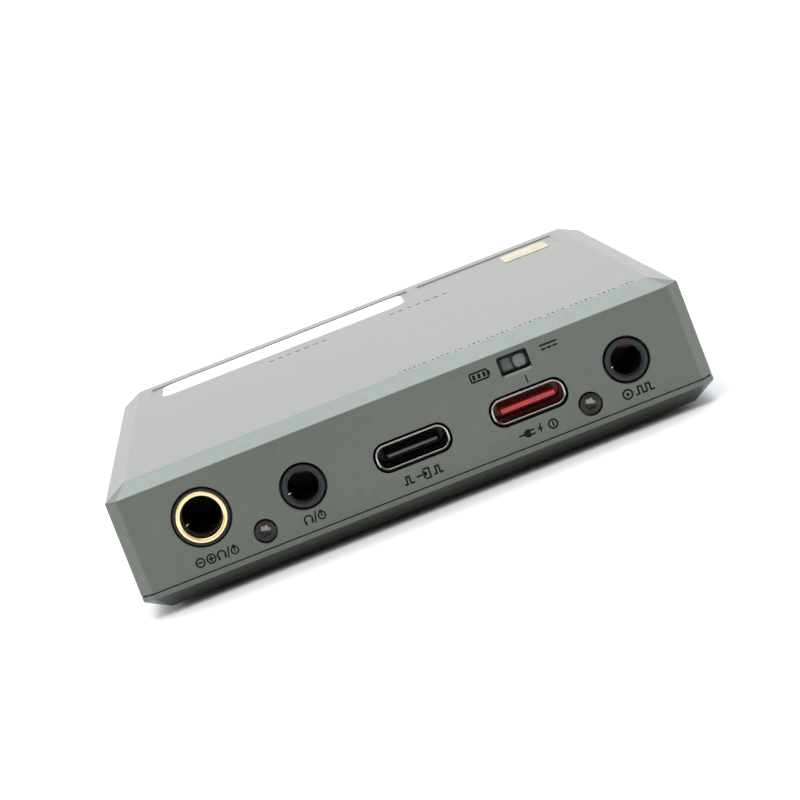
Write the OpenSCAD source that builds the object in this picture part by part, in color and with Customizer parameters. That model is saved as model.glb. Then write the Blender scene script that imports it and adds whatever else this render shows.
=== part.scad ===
// Desktop headphone DAC in a two-part aluminium case, with its battery, boards, sockets,
// a battery / external supply slide switch and three side keys.
// Frame: origin on the table under the middle of the case. X runs to the right along the port
// face, Y runs away from the port face towards the far face, and Z is up. Millimetres.

/* [Case] */
// Width across the side faces
body_w = 70; // [70:0.5:74]
// Depth from the port face to the far face
body_l = 102; // [102:0.5:110]
// Height of the upper case above the parting line
case_h = 12.9; // [12.9:0.1:14]
// Height of the bottom cover, from its flat underside to the parting line
cover_h = 2.4; // [2.4:0.1:3]
// Wall thickness of the upper case
wall = 1.6; // [1.4:0.1:1.7]
// Thickness of the roof of the upper case
roof_t = 1.5; // [1.3:0.1:1.6]
// Thickness of the floor of the bottom cover
floor_t = 1.2; // [1:0.1:1.2]
// Height of the sloping band around the top
top_slope_h = 1.4; // [1.2:0.1:1.5]
// How far the sloping band around the top comes in
top_slope_in = 2.85; // [2.4:0.05:3]
// Height of the sloping band around the underside
base_slope_h = 1.75; // [1.4:0.05:1.8]
// How far the sloping band around the underside comes in
base_slope_in = 2.65; // [2.2:0.05:2.8]
// Cut taken off each upright corner
corner_cut = 1.4; // [1.2:0.1:1.6]
// Open gap of the parting line
seam_gap = 0.08; // [0.08:0.01:0.15]
// Height that the rubber feet stand out below the cover
foot_h = 0.6; // [0.5:0.1:1]

/* [Port face] */
// Balanced jack, distance from the middle
balanced_x = -25.25; // [-25.5:0.05:-25]
// Balanced jack, height above the parting line
balanced_rise = 6.25; // [6.2:0.05:6.3]
// Headphone jack, distance from the middle
phones_x = -13.2; // [-13.4:0.05:-13]
// Coaxial jack, distance from the middle
coax_x = 26.3; // [26.1:0.05:26.4]
// Headphone and coaxial jacks, height above the parting line
jack_rise = 5.3; // [5.25:0.05:5.35]
// Data port, distance from the middle
data_x = 0; // [-0.4:0.1:0.4]
// Power port, distance from the middle
power_x = 14.15; // [14:0.05:14.3]
// Both USB-C ports, height above the parting line
usb_rise = 4.84; // [4.8:0.02:4.9]
// Left port-face screw, distance from the middle
left_screw_x = -19.05; // [-19.2:0.05:-18.9]
// Right port-face screw, distance from the middle
right_screw_x = 20.7; // [20.6:0.05:20.8]
// All case screws, height above the parting line
screw_rise = 2.1; // [2:0.05:2.2]
// Far-face screws, distance from the middle
far_screw_x = 20; // [18:0.5:22]

/* [Mode switch] */
// Switch window, distance from the middle
switch_x = 14.2; // [14.1:0.05:14.3]
// Switch window, height above the parting line
switch_rise = 9.75; // [9.7:0.05:9.8]
// Width of the knob
knob_w = 1.5; // [1.3:0.1:1.5]
// Height of the knob
knob_h = 1.55; // [1.4:0.05:1.6]
// Travel of the knob between its two positions
switch_travel = 1.4; // [1.2:0.1:1.4]

/* [Side keys] */
// Length of each key along the side face
key_len = 8; // [7:0.5:8.5]
// Height of each key
key_h = 2; // [1.8:0.1:2.2]
// How far each key stands out of the floor of its recess
key_proud = 0.42; // [0.3:0.02:0.45]
// Height of the keys' middle above the parting line
key_rise = 5.5; // [5.3:0.1:5.7]
// Distance from key to key
key_pitch = 11.5; // [11:0.5:12]

/* [Top face] */
// Depth from the port face to the two rows of vent holes
vent_depth = 71; // [68:0.5:74]
// Distance from hole to hole in a row
vent_pitch = 1.26; // [1.2:0.02:1.3]
// Diameter of each vent hole
vent_d = 0.8; // [0.6:0.05:0.9]
// Distance from the middle of the case to the middle of each row
vent_x = 8.7; // [8.4:0.1:9]
// Depth of the two label pockets below the top face
pocket_t = 0.15; // [0.12:0.01:0.25]

/* [Hidden] */
$fn = 64;

// Colours
slate = [0.36, 0.40, 0.38];
steel = [0.62, 0.63, 0.64];
gold = [0.83, 0.66, 0.30];
black = [0.09, 0.09, 0.10];
green_board = [0.05, 0.22, 0.16];

// Levels and faces
base_z = foot_h;
seam_z = base_z + cover_h;
top_z = seam_z + case_h;
roof_z = top_z - roof_t;
floor_z = base_z + floor_t;
front_y = -body_l / 2;
far_y = body_l / 2;
side_x = body_w / 2;
in_x = side_x - wall;
in_front_y = front_y + wall;
in_far_y = far_y - wall;
screw_z = seam_z + screw_rise;
usb_z = seam_z + usb_rise;
jack_z = seam_z + jack_rise;
balanced_z = seam_z + balanced_rise;
switch_z = seam_z + switch_rise;
key_z = seam_z + key_rise;

// Case details
edge = 0.05;
seam_edge = 0.06;
corner_r = 0.3;
skin = 0.001;
lip_t = 0.8;
lip_gap = 0.1;
lip_rise = 1.3;
ledge_in = 0.75;
screw_head_d = 2.65;
screw_hole_d = 2.85;
screw_head_t = 0.9;
screw_shank_d = 1.6;
screw_l = 3.9;
head_sink = 0.08;
lug_w = 3.4;
lug_t = 2.9;
lug_top = screw_z + 1.9;
foot_d = 8;
foot_sink = 0.3;
foot_in_x = 9;
foot_in_y = 10;
vent_count = 7;
label_t = 0.08;
// Pockets and the labels in them: left edge, width, then near edge and length from the port face
pocket_near = 78.8;
pocket_l = 15.4;
white_pocket = [-30, 38.4];
gold_pocket = [10.2, 20];
white_label_at = [-28.4, 35.8, 79.7, 13.8];
gold_badge_at = [22.3, 6.5, 80.9, 10.3];

// Sockets
balanced_hole_d = 6.93;
balanced_bore_d = 4.5;
ring_od = 5.95;
ring_id = 4.86;
ring_l = 2;
jack_hole_d = 5.4;
jack_nose_d = 5.1;
jack_bore_d = 3.6;
nose_sink = 0.1;
balanced_depth = 19.6;
jack_depth = 14.2;
jack_l = 13;
usb_w = 8.94;
usb_h = 3.16;
usb_r = 1.38;
usb_l = 7.3;
usb_wall = 0.3;
usb_hole_gap = 0.23;
usb_sink = 0.15;
tongue_w = 6.69;
tongue_t = 0.7;
tongue_sink = 0.6;
tongue_l = 4.8;
pad_count = 12;
pad_pitch = 0.5;
pad_w = 0.25;
pad_l = 2.6;
pad_t = 0.03;
pad_back = 1.2;

// Main board
board_t = 1.2;
board_top = usb_z - usb_h / 2;
board_z = board_top - board_t;
board_gap = 0.6;
board_x = in_x - board_gap;
board_front = in_front_y + board_gap;
board_far = in_far_y - 1;
bay_front = -24.8;
bay_far = 13.2;
arm_x = 24.8;
mini_screw_d = 1.6;
mini_head_d = 2.8;
mini_head_t = 0.8;
boss_d = 4;
board_screw_at = [[-30.4, -27.6], [30.4, -27.4], [-30.4, 16.2], [-30.4, 45.2], [30.4, 45.2]];

// Parts on the main board: middle of each, or of the first of its row
dac_at = [0, -34];
usb_chip_at = [14.5, -33];
charger_at = [27.5, 26];
amplifier_y = 23;
clock_x = -7;
clock_ys = [-38.4, -30.6];
clock_size = [3.2, 5, 1.1];
can_size = [13, 12, 2.2];
can_t = 0.2;
inductor_at = [-18, 39];
inductor_pitch = 8;
capacitor_at = [-23, 29.5];
capacitor_pitch = 7.6;
film_at = [0, -36];
film_size = [58, 18, 0.2];

// Battery
cell_w = 56;
cell_l = 34;
cell_t = 9.2;
tape_t = 0.3;
cell_x = -32.4;
cell_y = -24;
cell_z = floor_z + tape_t;
cell_r = 1.6;
cell_round = 1.2;
circuit_y = cell_y + cell_l + 0.2;
circuit_w = 44;
circuit_t = 2.4;
circuit_z = 5;
circuit_h = 1.4;
lead_d = 1;
plug_x = 19;
plug_y = 15.4;
plug_z = board_top + 1.3;

// Mode switch
knob_gap = 0.32;
window_w = knob_w + switch_travel + 2 * knob_gap;
window_h = knob_h + 2 * knob_gap;
window_r = 0.3;
window_bevel = 0.06;
window_ramp = 0.28;
carriage_in = 0.3;
shutter_w = 5.8;
shutter_h = 2.7;
shutter_t = 0.3;
knob_x = switch_x + switch_travel / 2;
window_land = 0.8;
carriage_y = front_y + window_land + 0.1;
carriage_step = 0.25;
shutter_y = carriage_y + carriage_step;
slide_body_w = 8;
slide_body_h = 2.5;
slide_body_l = 3.2;
slide_body_y = in_front_y + 0.8;
slide_slot_l = 2.4;
slide_stem_w = 1.2;
slide_stem_h = 1;
slide_stem_end = slide_body_y + slide_slot_l - 0.35;
slide_board_t = 0.8;
slide_board_top = switch_z - slide_body_h / 2;
slide_boss_x = 6;
slide_boss_y = front_y + 7;

// Side keys, counted from the port face: power, volume down, volume up
key_y = [for (i = [0:2]) -19 + i * key_pitch];
key_gap = 0.12;
key_pocket_t = 0.5;
key_pocket_h = 4.2;
key_pocket_end = 3.5;
flange_t = 0.5;
flange_out = 0.5;
flange_gap = 0.05;
key_travel = 0.35;
stem_d = 1.6;
key_switch_x = 27.6;
key_switch_w = 3;
key_switch_l = 5;
key_switch_h = 2.6;
plunger_w = 1.4;
plunger_h = 1;
plunger_out = 1;
plunger_in = 1.2;

// ---- Shared shapes ----

// Plan of the case, brought in by inset, with its corners cut by cut
module plan(inset, cut) {
  x = side_x - inset;
  y = far_y - inset;
  c = cut;
  offset(r = corner_r, $fn = 24) offset(delta = -corner_r)
    if (c > 0)
      polygon([[x - c, -y], [x, c - y], [x, y - c], [x - c, y],
               [c - x, y], [-x, y - c], [-x, c - y], [c - x, -y]]);
    else
      square([2 * x, 2 * y], center = true);
}

module slab(z, inset, cut) {
  translate([0, 0, z]) linear_extrude(skin) plan(inset, cut);
}

// Solid body of the upper case, with every outer edge broken by a fine bevel
module case_body() {
  slope = sqrt(pow(top_slope_h, 2) + pow(top_slope_in, 2));
  t = edge / slope;
  low = seam_z + seam_gap / 2;
  hull() {
    slab(low, seam_edge, corner_cut);
    slab(low + seam_edge, 0, corner_cut);
    slab(top_z - top_slope_h - edge, 0, corner_cut);
    slab(top_z - top_slope_h * (1 - t), top_slope_in * t, corner_cut * (1 - t));
    slab(top_z - top_slope_h * t - skin, top_slope_in * (1 - t), 0);
    slab(top_z - skin, top_slope_in + edge, 0);
  }
}

// Solid body of the bottom cover up to the parting line
module cover_body() {
  slope = sqrt(pow(base_slope_h, 2) + pow(base_slope_in, 2));
  t = edge / slope;
  high = seam_z - seam_gap / 2 - skin;
  hull() {
    slab(base_z, base_slope_in + edge, 0);
    slab(base_z + base_slope_h * t, base_slope_in * (1 - t), 0);
    slab(base_z + base_slope_h * (1 - t), base_slope_in * t, corner_cut * (1 - t));
    slab(base_z + base_slope_h + edge, 0, corner_cut);
    slab(high - seam_edge, 0, corner_cut);
    slab(high, seam_edge, corner_cut);
  }
}

// Box centred on the middle of the case, brought in from the outer faces
module inner_box(inset, low, high) {
  translate([inset - side_x, inset + front_y, low])
    cube([body_w - 2 * inset, body_l - 2 * inset, high - low]);
}

// Cylinder along Y from y, of length l
module y_rod(x, y, z, d, l) {
  translate([x, y, z]) rotate([-90, 0, 0]) cylinder(h = l, d = d);
}

// Cone along Y, d1 wide at y and d2 wide l further in
module y_cone(x, y, z, d1, d2, l) {
  translate([x, y, z]) rotate([-90, 0, 0]) cylinder(h = l, d1 = d1, d2 = d2);
}

// Rectangle w wide and h high with corners of radius r, in the XZ plane, reaching l along Y
module y_rounded(x, y, z, w, h, r, l) {
  translate([x - w / 2 + r, y, z - h / 2]) cube([w - 2 * r, l, h]);
  translate([x - w / 2, y, z - h / 2 + r]) cube([w, l, h - 2 * r]);
  for (sx = [-1, 1], sz = [-1, 1]) y_rod(x + sx * (w / 2 - r), y, z + sz * (h / 2 - r), 2 * r, l);
}

// Flat shape with round ends, in the YZ plane, reaching l along X
module x_stadium(x, y, z, w, h, l) {
  translate([x, y - (w - h) / 2, z - h / 2]) cube([l, w - h, h]);
  for (s = [-1, 1])
    translate([x, y + s * (w - h) / 2, z]) rotate([0, 90, 0]) cylinder(h = l, d = h);
}

module box(x, y, z, w, l, h) {
  translate([x - w / 2, y - l / 2, z]) cube([w, l, h]);
}

function unit(v) = v / norm(v);

// Direction of a path at point i
function heading(path, i) =
  unit(path[min(i + 1, len(path) - 1)] - path[max(i - 1, 0)]);

// Wire swept along a list of points that runs mostly in the YZ plane, with flat ends
module wire(path, d) {
  sides = 10;
  n = len(path);
  points = [for (i = [0:n - 1], k = [0:sides - 1])
    let (h = heading(path, i), u = unit(cross(h, [1, 0, 0])), v = cross(u, h), a = 360 * k / sides)
      path[i] + d / 2 * (cos(a) * u + sin(a) * v)];
  walls = [for (i = [0:n - 2], k = [0:sides - 1])
    let (k2 = (k + 1) % sides)
      [i * sides + k, i * sides + k2, (i + 1) * sides + k2, (i + 1) * sides + k]];
  polyhedron(points, concat(walls, [[for (k = [sides - 1:-1:0]) k]],
                            [[for (k = [0:sides - 1]) (n - 1) * sides + k]]));
}

// Six-lobe recess, cut along +Y from y
module lobe_recess(x, y, z, l) {
  y_rod(x, y, z, 0.9, l);
  for (i = [0:5])
    y_rod(x + 0.5 * cos(60 * i), y, z + 0.5 * sin(60 * i), 0.34, l);
}

// Case screw with its head in the port face, pointing along +Y
module case_screw(x) {
  y = front_y + head_sink;
  difference() {
    union() {
      y_cone(x, y, screw_z, screw_head_d - 0.2, screw_head_d, 0.1);
      y_rod(x, y + 0.1, screw_z, screw_head_d, screw_head_t - 0.1);
      y_rod(x, y + screw_head_t, screw_z, screw_shank_d, screw_l);
    }
    lobe_recess(x, y - 0.1, screw_z, 0.65);
  }
}

// Hole for a case screw through the port wall
module case_screw_hole(x) {
  y_rod(x, front_y - 1, screw_z, screw_hole_d, 1 + head_sink + screw_head_t);
  y_rod(x, front_y, screw_z, screw_shank_d + 0.1, wall + 1);
}

// Small screw pointing up, its head under z
module mini_screw(at, z, l) {
  difference() {
    union() {
      translate([at[0], at[1], z - mini_head_t]) cylinder(h = mini_head_t, d = mini_head_d);
      translate([at[0], at[1], z]) cylinder(h = l, d = mini_screw_d);
    }
    translate([at[0], at[1], z - mini_head_t - 0.1]) cylinder(h = 0.55, d = 1.2, $fn = 6);
  }
}

// Boss that hangs from the roof down to z, without its hole
module boss(at, z, d) {
  translate([at[0], at[1], z]) cylinder(h = roof_z - z + 0.2, d = d);
}

// ---- Case ----

// Opening of the mode switch: window with rounded corners and a ramp along its lower edge, and
// behind it the recess in the wall that the shutter slides in
module switch_window() {
  recess_room = 0.15;
  box(switch_x, front_y + window_land + wall / 2, switch_z - shutter_h / 2 - recess_room,
      shutter_w + switch_travel + 4 * recess_room, wall, shutter_h + 2 * recess_room);
  y_rounded(switch_x, front_y - 1, switch_z, window_w, window_h, window_r, wall + 2);
  hull() {
    y_rounded(switch_x, front_y - skin, switch_z - (window_ramp - window_bevel) / 2,
              window_w + 2 * window_bevel, window_h + window_ramp + window_bevel, window_r, skin);
    y_rounded(switch_x, front_y + window_ramp, switch_z, window_w - 2 * window_bevel,
              window_h - 2 * window_bevel, window_r, skin);
  }
}

module port_hole(x, z, d) {
  y_rod(x, front_y - 1, z, d, wall + 2);
  y_cone(x, front_y - 0.02, z, d + 0.24, d, 0.14);
}

module usb_hole(x) {
  y_rounded(x, front_y - 1, usb_z, usb_w + 2 * usb_hole_gap, usb_h + 2 * usb_hole_gap,
            usb_r + usb_hole_gap, wall + 2);
}

module vents() {
  for (s = [-1, 1], i = [0:vent_count - 1])
    translate([s * vent_x + (i - (vent_count - 1) / 2) * vent_pitch, front_y + vent_depth, roof_z - 1])
      cylinder(h = roof_t + 2, d = vent_d, $fn = 32);
}

// Shallow pocket with sloping walls
module label_pocket(at)
  hull()
    for (out = [0, pocket_t + 0.05])
      translate([at[0] - out, front_y + pocket_near - out, top_z - pocket_t + out])
        cube([at[1] + 2 * out, pocket_l + 2 * out, skin]);

module label(at)
  translate([at[0], front_y + at[2], top_z - pocket_t]) cube([at[1], at[3], label_t]);

module top_case() color(slate) {
  difference() {
    union() {
      difference() {
        case_body();
        inner_box(wall, seam_z - 1, roof_z);
      }
      for (at = board_screw_at) boss(at, board_top, boss_d);
      for (s = [-1, 1]) boss([switch_x + s * slide_boss_x, slide_boss_y], slide_board_top, 3.2);
    }
    port_hole(balanced_x, balanced_z, balanced_hole_d);
    port_hole(phones_x, jack_z, jack_hole_d);
    port_hole(coax_x, jack_z, jack_hole_d);
    usb_hole(data_x);
    usb_hole(power_x);
    switch_window();
    for (x = [left_screw_x, right_screw_x]) case_screw_hole(x);
    for (s = [-1, 1]) rotate([0, 0, 180]) case_screw_hole(s * far_screw_x);
    for (y = key_y)
      x_stadium(in_x - 1, y, key_z, key_len + 2 * key_gap, key_h + 2 * key_gap, wall + 2);
    x_stadium(side_x - key_pocket_t, key_y[1], key_z,
              2 * key_pitch + key_len + 2 * key_pocket_end, key_pocket_h, 1);
    vents();
    label_pocket(white_pocket);
    label_pocket(gold_pocket);
    for (at = board_screw_at)
      translate([at[0], at[1], board_top - 1]) cylinder(h = 5, d = mini_screw_d);
    for (s = [-1, 1])
      translate([switch_x + s * slide_boss_x, slide_boss_y, slide_board_top - 1])
        cylinder(h = 3.2, d = mini_screw_d);
  }
}

// Upright lug of the cover behind a case screw in the port wall
module lug(x) {
  translate([x - lug_w / 2, in_front_y + lip_gap, floor_z - 0.2])
    cube([lug_w, lug_t, lug_top - floor_z + 0.2]);
}

module lug_hole(x) {
  y_rod(x, in_front_y - 1, screw_z, screw_shank_d, lug_t + 2);
}

module bottom_cover() color(slate) {
  lip_in = wall + lip_gap;
  difference() {
    union() {
      difference() {
        union() {
          cover_body();
          inner_box(ledge_in, seam_z - 0.5, seam_z + seam_gap / 2);
          inner_box(lip_in, seam_z - 0.5, seam_z + lip_rise);
        }
        inner_box(lip_in + lip_t, floor_z, seam_z + 3);
      }
      for (x = [left_screw_x, right_screw_x]) lug(x);
      for (s = [-1, 1]) rotate([0, 0, 180]) lug(s * far_screw_x);
    }
    for (x = [left_screw_x, right_screw_x]) lug_hole(x);
    for (s = [-1, 1]) rotate([0, 0, 180]) lug_hole(s * far_screw_x);
    feet_at(base_z - 1, foot_d + 0.1, 1 + foot_sink);
  }
}

// Four upright cylinders at the places of the feet
module feet_at(z, d, h) {
  for (sx = [-1, 1], sy = [-1, 1])
    translate([sx * (side_x - foot_in_x), sy * (far_y - foot_in_y), z]) cylinder(h = h, d = d);
}

module rubber_feet() color(black) feet_at(0, foot_d, foot_h + foot_sink);

module front_screws() color([0.25, 0.25, 0.26])
  for (x = [left_screw_x, right_screw_x]) case_screw(x);

module far_screws() color([0.25, 0.25, 0.26])
  for (s = [-1, 1]) rotate([0, 0, 180]) case_screw(s * far_screw_x);

module white_label() color("white") label(white_label_at);

module gold_badge() color(gold) label(gold_badge_at);

// ---- Boards ----

module main_board() color(green_board) {
  notch = 0.4;
  difference() {
    translate([0, 0, board_z]) linear_extrude(board_t)
      polygon([[-board_x, board_front], [board_x, board_front], [board_x, board_far],
               [-board_x, board_far], [-board_x, bay_far], [arm_x, bay_far],
               [arm_x, bay_front], [-board_x, bay_front]]);
    for (x = [left_screw_x, right_screw_x])
      box(x, in_front_y, board_z - 1, lug_w + 2 * notch, 2 * (lug_t + notch + 1), board_t + 2);
    for (x = [-far_screw_x, far_screw_x])
      box(x, in_far_y, board_z - 1, lug_w + 2 * notch, 2 * (lug_t + notch + 1), board_t + 2);
    for (x = [phones_x, coax_x])
      box(x, board_front, board_z - 1, 6.3, 2 * (jack_l - 0.1), board_t + 2);
    for (at = board_screw_at)
      translate([at[0], at[1], board_z - 1]) cylinder(h = board_t + 2, d = mini_screw_d + 0.2);
  }
}

module board_screws() color(steel) {
  for (at = board_screw_at) mini_screw(at, board_z, board_t + 3.5);
}

// Chip with a row of leads on each of two sides, standing on z
module chip(x, y, z, w, l, leads) {
  box(x, y, z + 0.1, w, l, 0.9);
  pitch = (l - 1) / (leads - 1);
  for (s = [-1, 1], i = [0:leads - 1])
    box(x + s * (w / 2 + 0.25), y + (i - (leads - 1) / 2) * pitch, z, 0.7, 0.3, 0.35);
}

module dac_chip() color(black) chip(dac_at[0], dac_at[1], board_top, 7, 9, 14);

module usb_chip() color(black) chip(usb_chip_at[0], usb_chip_at[1], board_top, 7, 7, 10);

module amplifier_chips() color(black)
  for (s = [-1, 1]) chip(s * vent_x, amplifier_y, board_top, 5, 5, 6);

module charger_chip() color(black) chip(charger_at[0], charger_at[1], board_top, 4, 4, 5);

module clock_oscillators() color(steel)
  for (y = clock_ys) box(clock_x, y, board_top, clock_size[0], clock_size[1], clock_size[2]);

// Can over the USB chip, open underneath, with rows of small holes in its roof
module shield_can() color(steel) {
  x = usb_chip_at[0];
  y = usb_chip_at[1];
  w = can_size[0];
  l = can_size[1];
  difference() {
    box(x, y, board_top, w, l, can_size[2]);
    box(x, y, board_top - 1, w - 2 * can_t, l - 2 * can_t, can_size[2] + 1 - can_t);
    for (i = [-2:2], j = [-1:1])
      translate([x + i * w / 6, y + j * l / 4, board_top + 1]) cylinder(h = 2, d = 1);
  }
}

// Block with rounded upright edges, standing on z
module round_block(x, y, z, w, r, h) {
  box(x, y, z, w, w - 2 * r, h);
  box(x, y, z, w - 2 * r, w, h);
  for (sx = [-1, 1], sy = [-1, 1])
    translate([x + sx * (w / 2 - r), y + sy * (w / 2 - r), z]) cylinder(h = h, r = r);
}

module power_inductors() color([0.22, 0.22, 0.24])
  for (i = [0:2])
    round_block(inductor_at[0] + i * inductor_pitch, inductor_at[1], board_top, 6.4, 1, 3);

module capacitors() color([0.72, 0.73, 0.74])
  for (i = [0:5]) {
    x = capacitor_at[0] + i * capacitor_pitch;
    y = capacitor_at[1];
    box(x, y, board_top, 6, 6, 0.8);
    translate([x, y, board_top + 0.8]) cylinder(h = 4.6, d = 5.8);
  }

module insulator_film() color(black)
  box(film_at[0], film_at[1], floor_z, film_size[0], film_size[1], film_size[2]);

// ---- Battery ----

// Pouch with rounded edges: plans at rising heights, each brought in at its height
module battery_cell() color([0.75, 0.76, 0.78])
  translate([cell_x + cell_w / 2, cell_y + cell_l / 2, cell_z]) hull() {
    for (k = [[0, cell_round], [cell_r, 0], [cell_t - cell_r, 0], [cell_t - skin, cell_round]])
      translate([0, 0, k[0]]) linear_extrude(skin)
        offset(r = cell_r, $fn = 32)
          square([cell_w - 2 * (cell_r + k[1]), cell_l - 2 * (cell_r + k[1])], center = true);
  }

module battery_circuit() color([0.80, 0.62, 0.18])
  translate([cell_x + (cell_w - circuit_w) / 2, circuit_y, circuit_z])
    cube([circuit_w, circuit_t, circuit_h]);

module battery_tape() color([0.85, 0.85, 0.82])
  for (s = [-1, 1])
    box(cell_x + cell_w / 2, cell_y + cell_l / 2 + s * 10, floor_z, 46, 7, tape_t);

// Lead from the plug's face, in an arch over the board's edge, down on to the cell's circuit
module battery_lead(x, drop_x) {
  low = circuit_z + circuit_h;
  end_y = circuit_y + circuit_t / 2;
  reach = plug_y - 0.5 - end_y;
  arch = [for (a = [0:20:180])
    let (t = (1 - cos(a)) / 2)
      [x + (drop_x - x) * t, plug_y - 0.5 - reach * t, plug_z + (low + 0.4 - plug_z) * t + 0.9 * sin(a)]];
  wire(concat([[x, plug_y, plug_z]], arch, [[drop_x, end_y, low]]), lead_d);
}

module battery_lead_red() color("red") battery_lead(plug_x - 1, plug_x - 3.4);

module battery_lead_black() color(black) battery_lead(plug_x + 1, plug_x - 1.4);

module battery_plug() color("ivory")
  box(plug_x, plug_y + 1.5, plug_z - 0.9, 4.4, 3, 1.8);

module battery_socket() color("ivory")
  difference() {
    box(plug_x, plug_y + 2.4, board_top, 5.6, 4, 2.6);
    box(plug_x, plug_y + 1.4, plug_z - 1, 4.6, 3.4, 2);
  }

// ---- Audio jacks ----

// Contact finger through one side of a jack, with its leg down to the board
module jack_contact(x, y, z, side, bore_r, out, foot_z) {
  s_x = x + side * (bore_r + out) / 2;
  box(s_x, y, z - 0.12, out - bore_r, 0.8, 0.24);
  box(x + side * (out + 0.1), y, foot_z, 0.2, 0.8, z + 0.12 - foot_z);
}

// Slots that the contact fingers of a jack pass through
module contact_slots(x, z, ys, out)
  for (i = [0:len(ys) - 1])
    box(x + (i % 2 == 0 ? 1 : -1) * out / 2, ys[i], z - 0.2, out + 0.4, 1, 0.4);

balanced_ys = [for (i = [0:4]) in_front_y + 3 + 3.4 * i];
jack_ys = [for (i = [0:3]) in_front_y + 2.2 + 3 * i];
balanced_out = 4;
jack_out = 3;

module balanced_jack_housing() color(black) {
  nose_y = front_y + nose_sink;
  difference() {
    union() {
      y_rod(balanced_x, nose_y, balanced_z, balanced_hole_d - 0.13, wall + 0.4);
      translate([balanced_x - balanced_out, in_front_y + 0.2, board_top]) cube([8, 18.8, 6.2]);
    }
    y_rod(balanced_x, nose_y - 1, balanced_z, balanced_bore_d, 1 + balanced_depth);
    y_rod(balanced_x, nose_y - 1, balanced_z, ring_od, 1 + ring_l);
    contact_slots(balanced_x, balanced_z, balanced_ys, balanced_out);
  }
}

module balanced_jack_ring() color(gold) {
  ri = ring_id / 2;
  ro = ring_od / 2;
  y0 = front_y + nose_sink - 0.04;
  translate([balanced_x, y0, balanced_z]) rotate([-90, 0, 0]) rotate_extrude($fn = 96)
    polygon([[ri + 0.22, 0], [ro - 0.1, 0], [ro, 0.1], [ro, ring_l + 0.04],
             [balanced_bore_d / 2 + 0.05, ring_l + 0.04], [balanced_bore_d / 2 + 0.05, 0.6],
             [ri, 0.45], [ri, 0.2]]);
}

module balanced_jack_contacts() color(gold)
  for (i = [0:4])
    jack_contact(balanced_x, balanced_ys[i], balanced_z, i % 2 == 0 ? 1 : -1,
                 balanced_bore_d / 2 + 0.03, balanced_out, board_top);

// 3.5 mm jack sunk into a notch of the board, standing on its side wings
module jack_housing(x) {
  nose_y = front_y + nose_sink;
  difference() {
    union() {
      y_rod(x, nose_y, jack_z, jack_nose_d, wall + 0.4);
      box(x, in_front_y + 0.2 + jack_l / 2, jack_z - 2.5, 6, jack_l, 5);
      for (s = [-1, 1]) box(x + s * 3.3, in_front_y + 6.7, board_top, 0.8, 1.2, 0.8);
    }
    y_rod(x, nose_y - 1, jack_z, jack_bore_d, 1 + jack_depth);
    y_cone(x, nose_y - 0.01, jack_z, jack_bore_d + 0.36, jack_bore_d, 0.2);
    contact_slots(x, jack_z, jack_ys, jack_out);
  }
}

module jack_contacts(x)
  for (i = [0:3])
    jack_contact(x, jack_ys[i], jack_z, i % 2 == 0 ? 1 : -1, jack_bore_d / 2 + 0.03,
                 jack_out, jack_z - 1.6);

module headphone_jack_housing() color([0.2, 0.2, 0.21]) jack_housing(phones_x);

module headphone_jack_contacts() color(gold) jack_contacts(phones_x);

module coax_jack_housing() color([0.2, 0.2, 0.21]) jack_housing(coax_x);

module coax_jack_contacts() color(gold) jack_contacts(coax_x);

// ---- USB-C ports ----

module port_inside(x, y, l)
  y_rounded(x, y, usb_z, usb_w - 2 * usb_wall, usb_h - 2 * usb_wall, usb_r - usb_wall, l);

module port_shell(x) {
  y = front_y + usb_sink;
  difference() {
    y_rounded(x, y, usb_z, usb_w, usb_h, usb_r, usb_l);
    port_inside(x, y - 1, usb_l - usb_wall + 1);
  }
}

module port_tongue(x) {
  y = front_y + usb_sink + tongue_sink;
  back = usb_l - usb_wall - tongue_sink - tongue_l;
  box(x, y + tongue_l / 2, usb_z - tongue_t / 2, tongue_w, tongue_l, tongue_t);
  port_inside(x, y + tongue_l, back);
}

module port_contacts(x)
  for (s = [-1, 1], i = [0:pad_count - 1])
    box(x + (i - (pad_count - 1) / 2) * pad_pitch,
        front_y + usb_sink + tongue_sink + pad_back + pad_l / 2,
        usb_z + (s > 0 ? tongue_t / 2 : -tongue_t / 2 - pad_t), pad_w, pad_l, pad_t);

module data_port_shell() color(steel) port_shell(data_x);

module data_port_tongue() color(black) port_tongue(data_x);

module data_port_contacts() color(gold) port_contacts(data_x);

module power_port_shell() color(steel) port_shell(power_x);

module power_port_tongue() color([0.75, 0.12, 0.12]) port_tongue(power_x);

module power_port_contacts() color(gold) port_contacts(power_x);

// ---- Mode switch ----

module switch_housing() color(black) {
  stem_room = 0.1;
  difference() {
    box(switch_x, slide_body_y + slide_body_l / 2, slide_board_top,
        slide_body_w, slide_body_l, slide_body_h);
    box(switch_x, slide_body_y, switch_z - slide_stem_h / 2 - stem_room,
        slide_stem_w + switch_travel + 2 * stem_room, 2 * slide_slot_l, slide_stem_h + 2 * stem_room);
  }
}

module switch_frame() color(steel) {
  frame_t = 0.2;
  top = slide_board_top + slide_body_h;
  box(switch_x, slide_body_y + slide_body_l / 2, top, slide_body_w, slide_body_l, frame_t);
  box(switch_x, slide_body_y + slide_body_l + frame_t / 2, slide_board_top,
      slide_body_w, frame_t, slide_body_h + frame_t);
}

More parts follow.
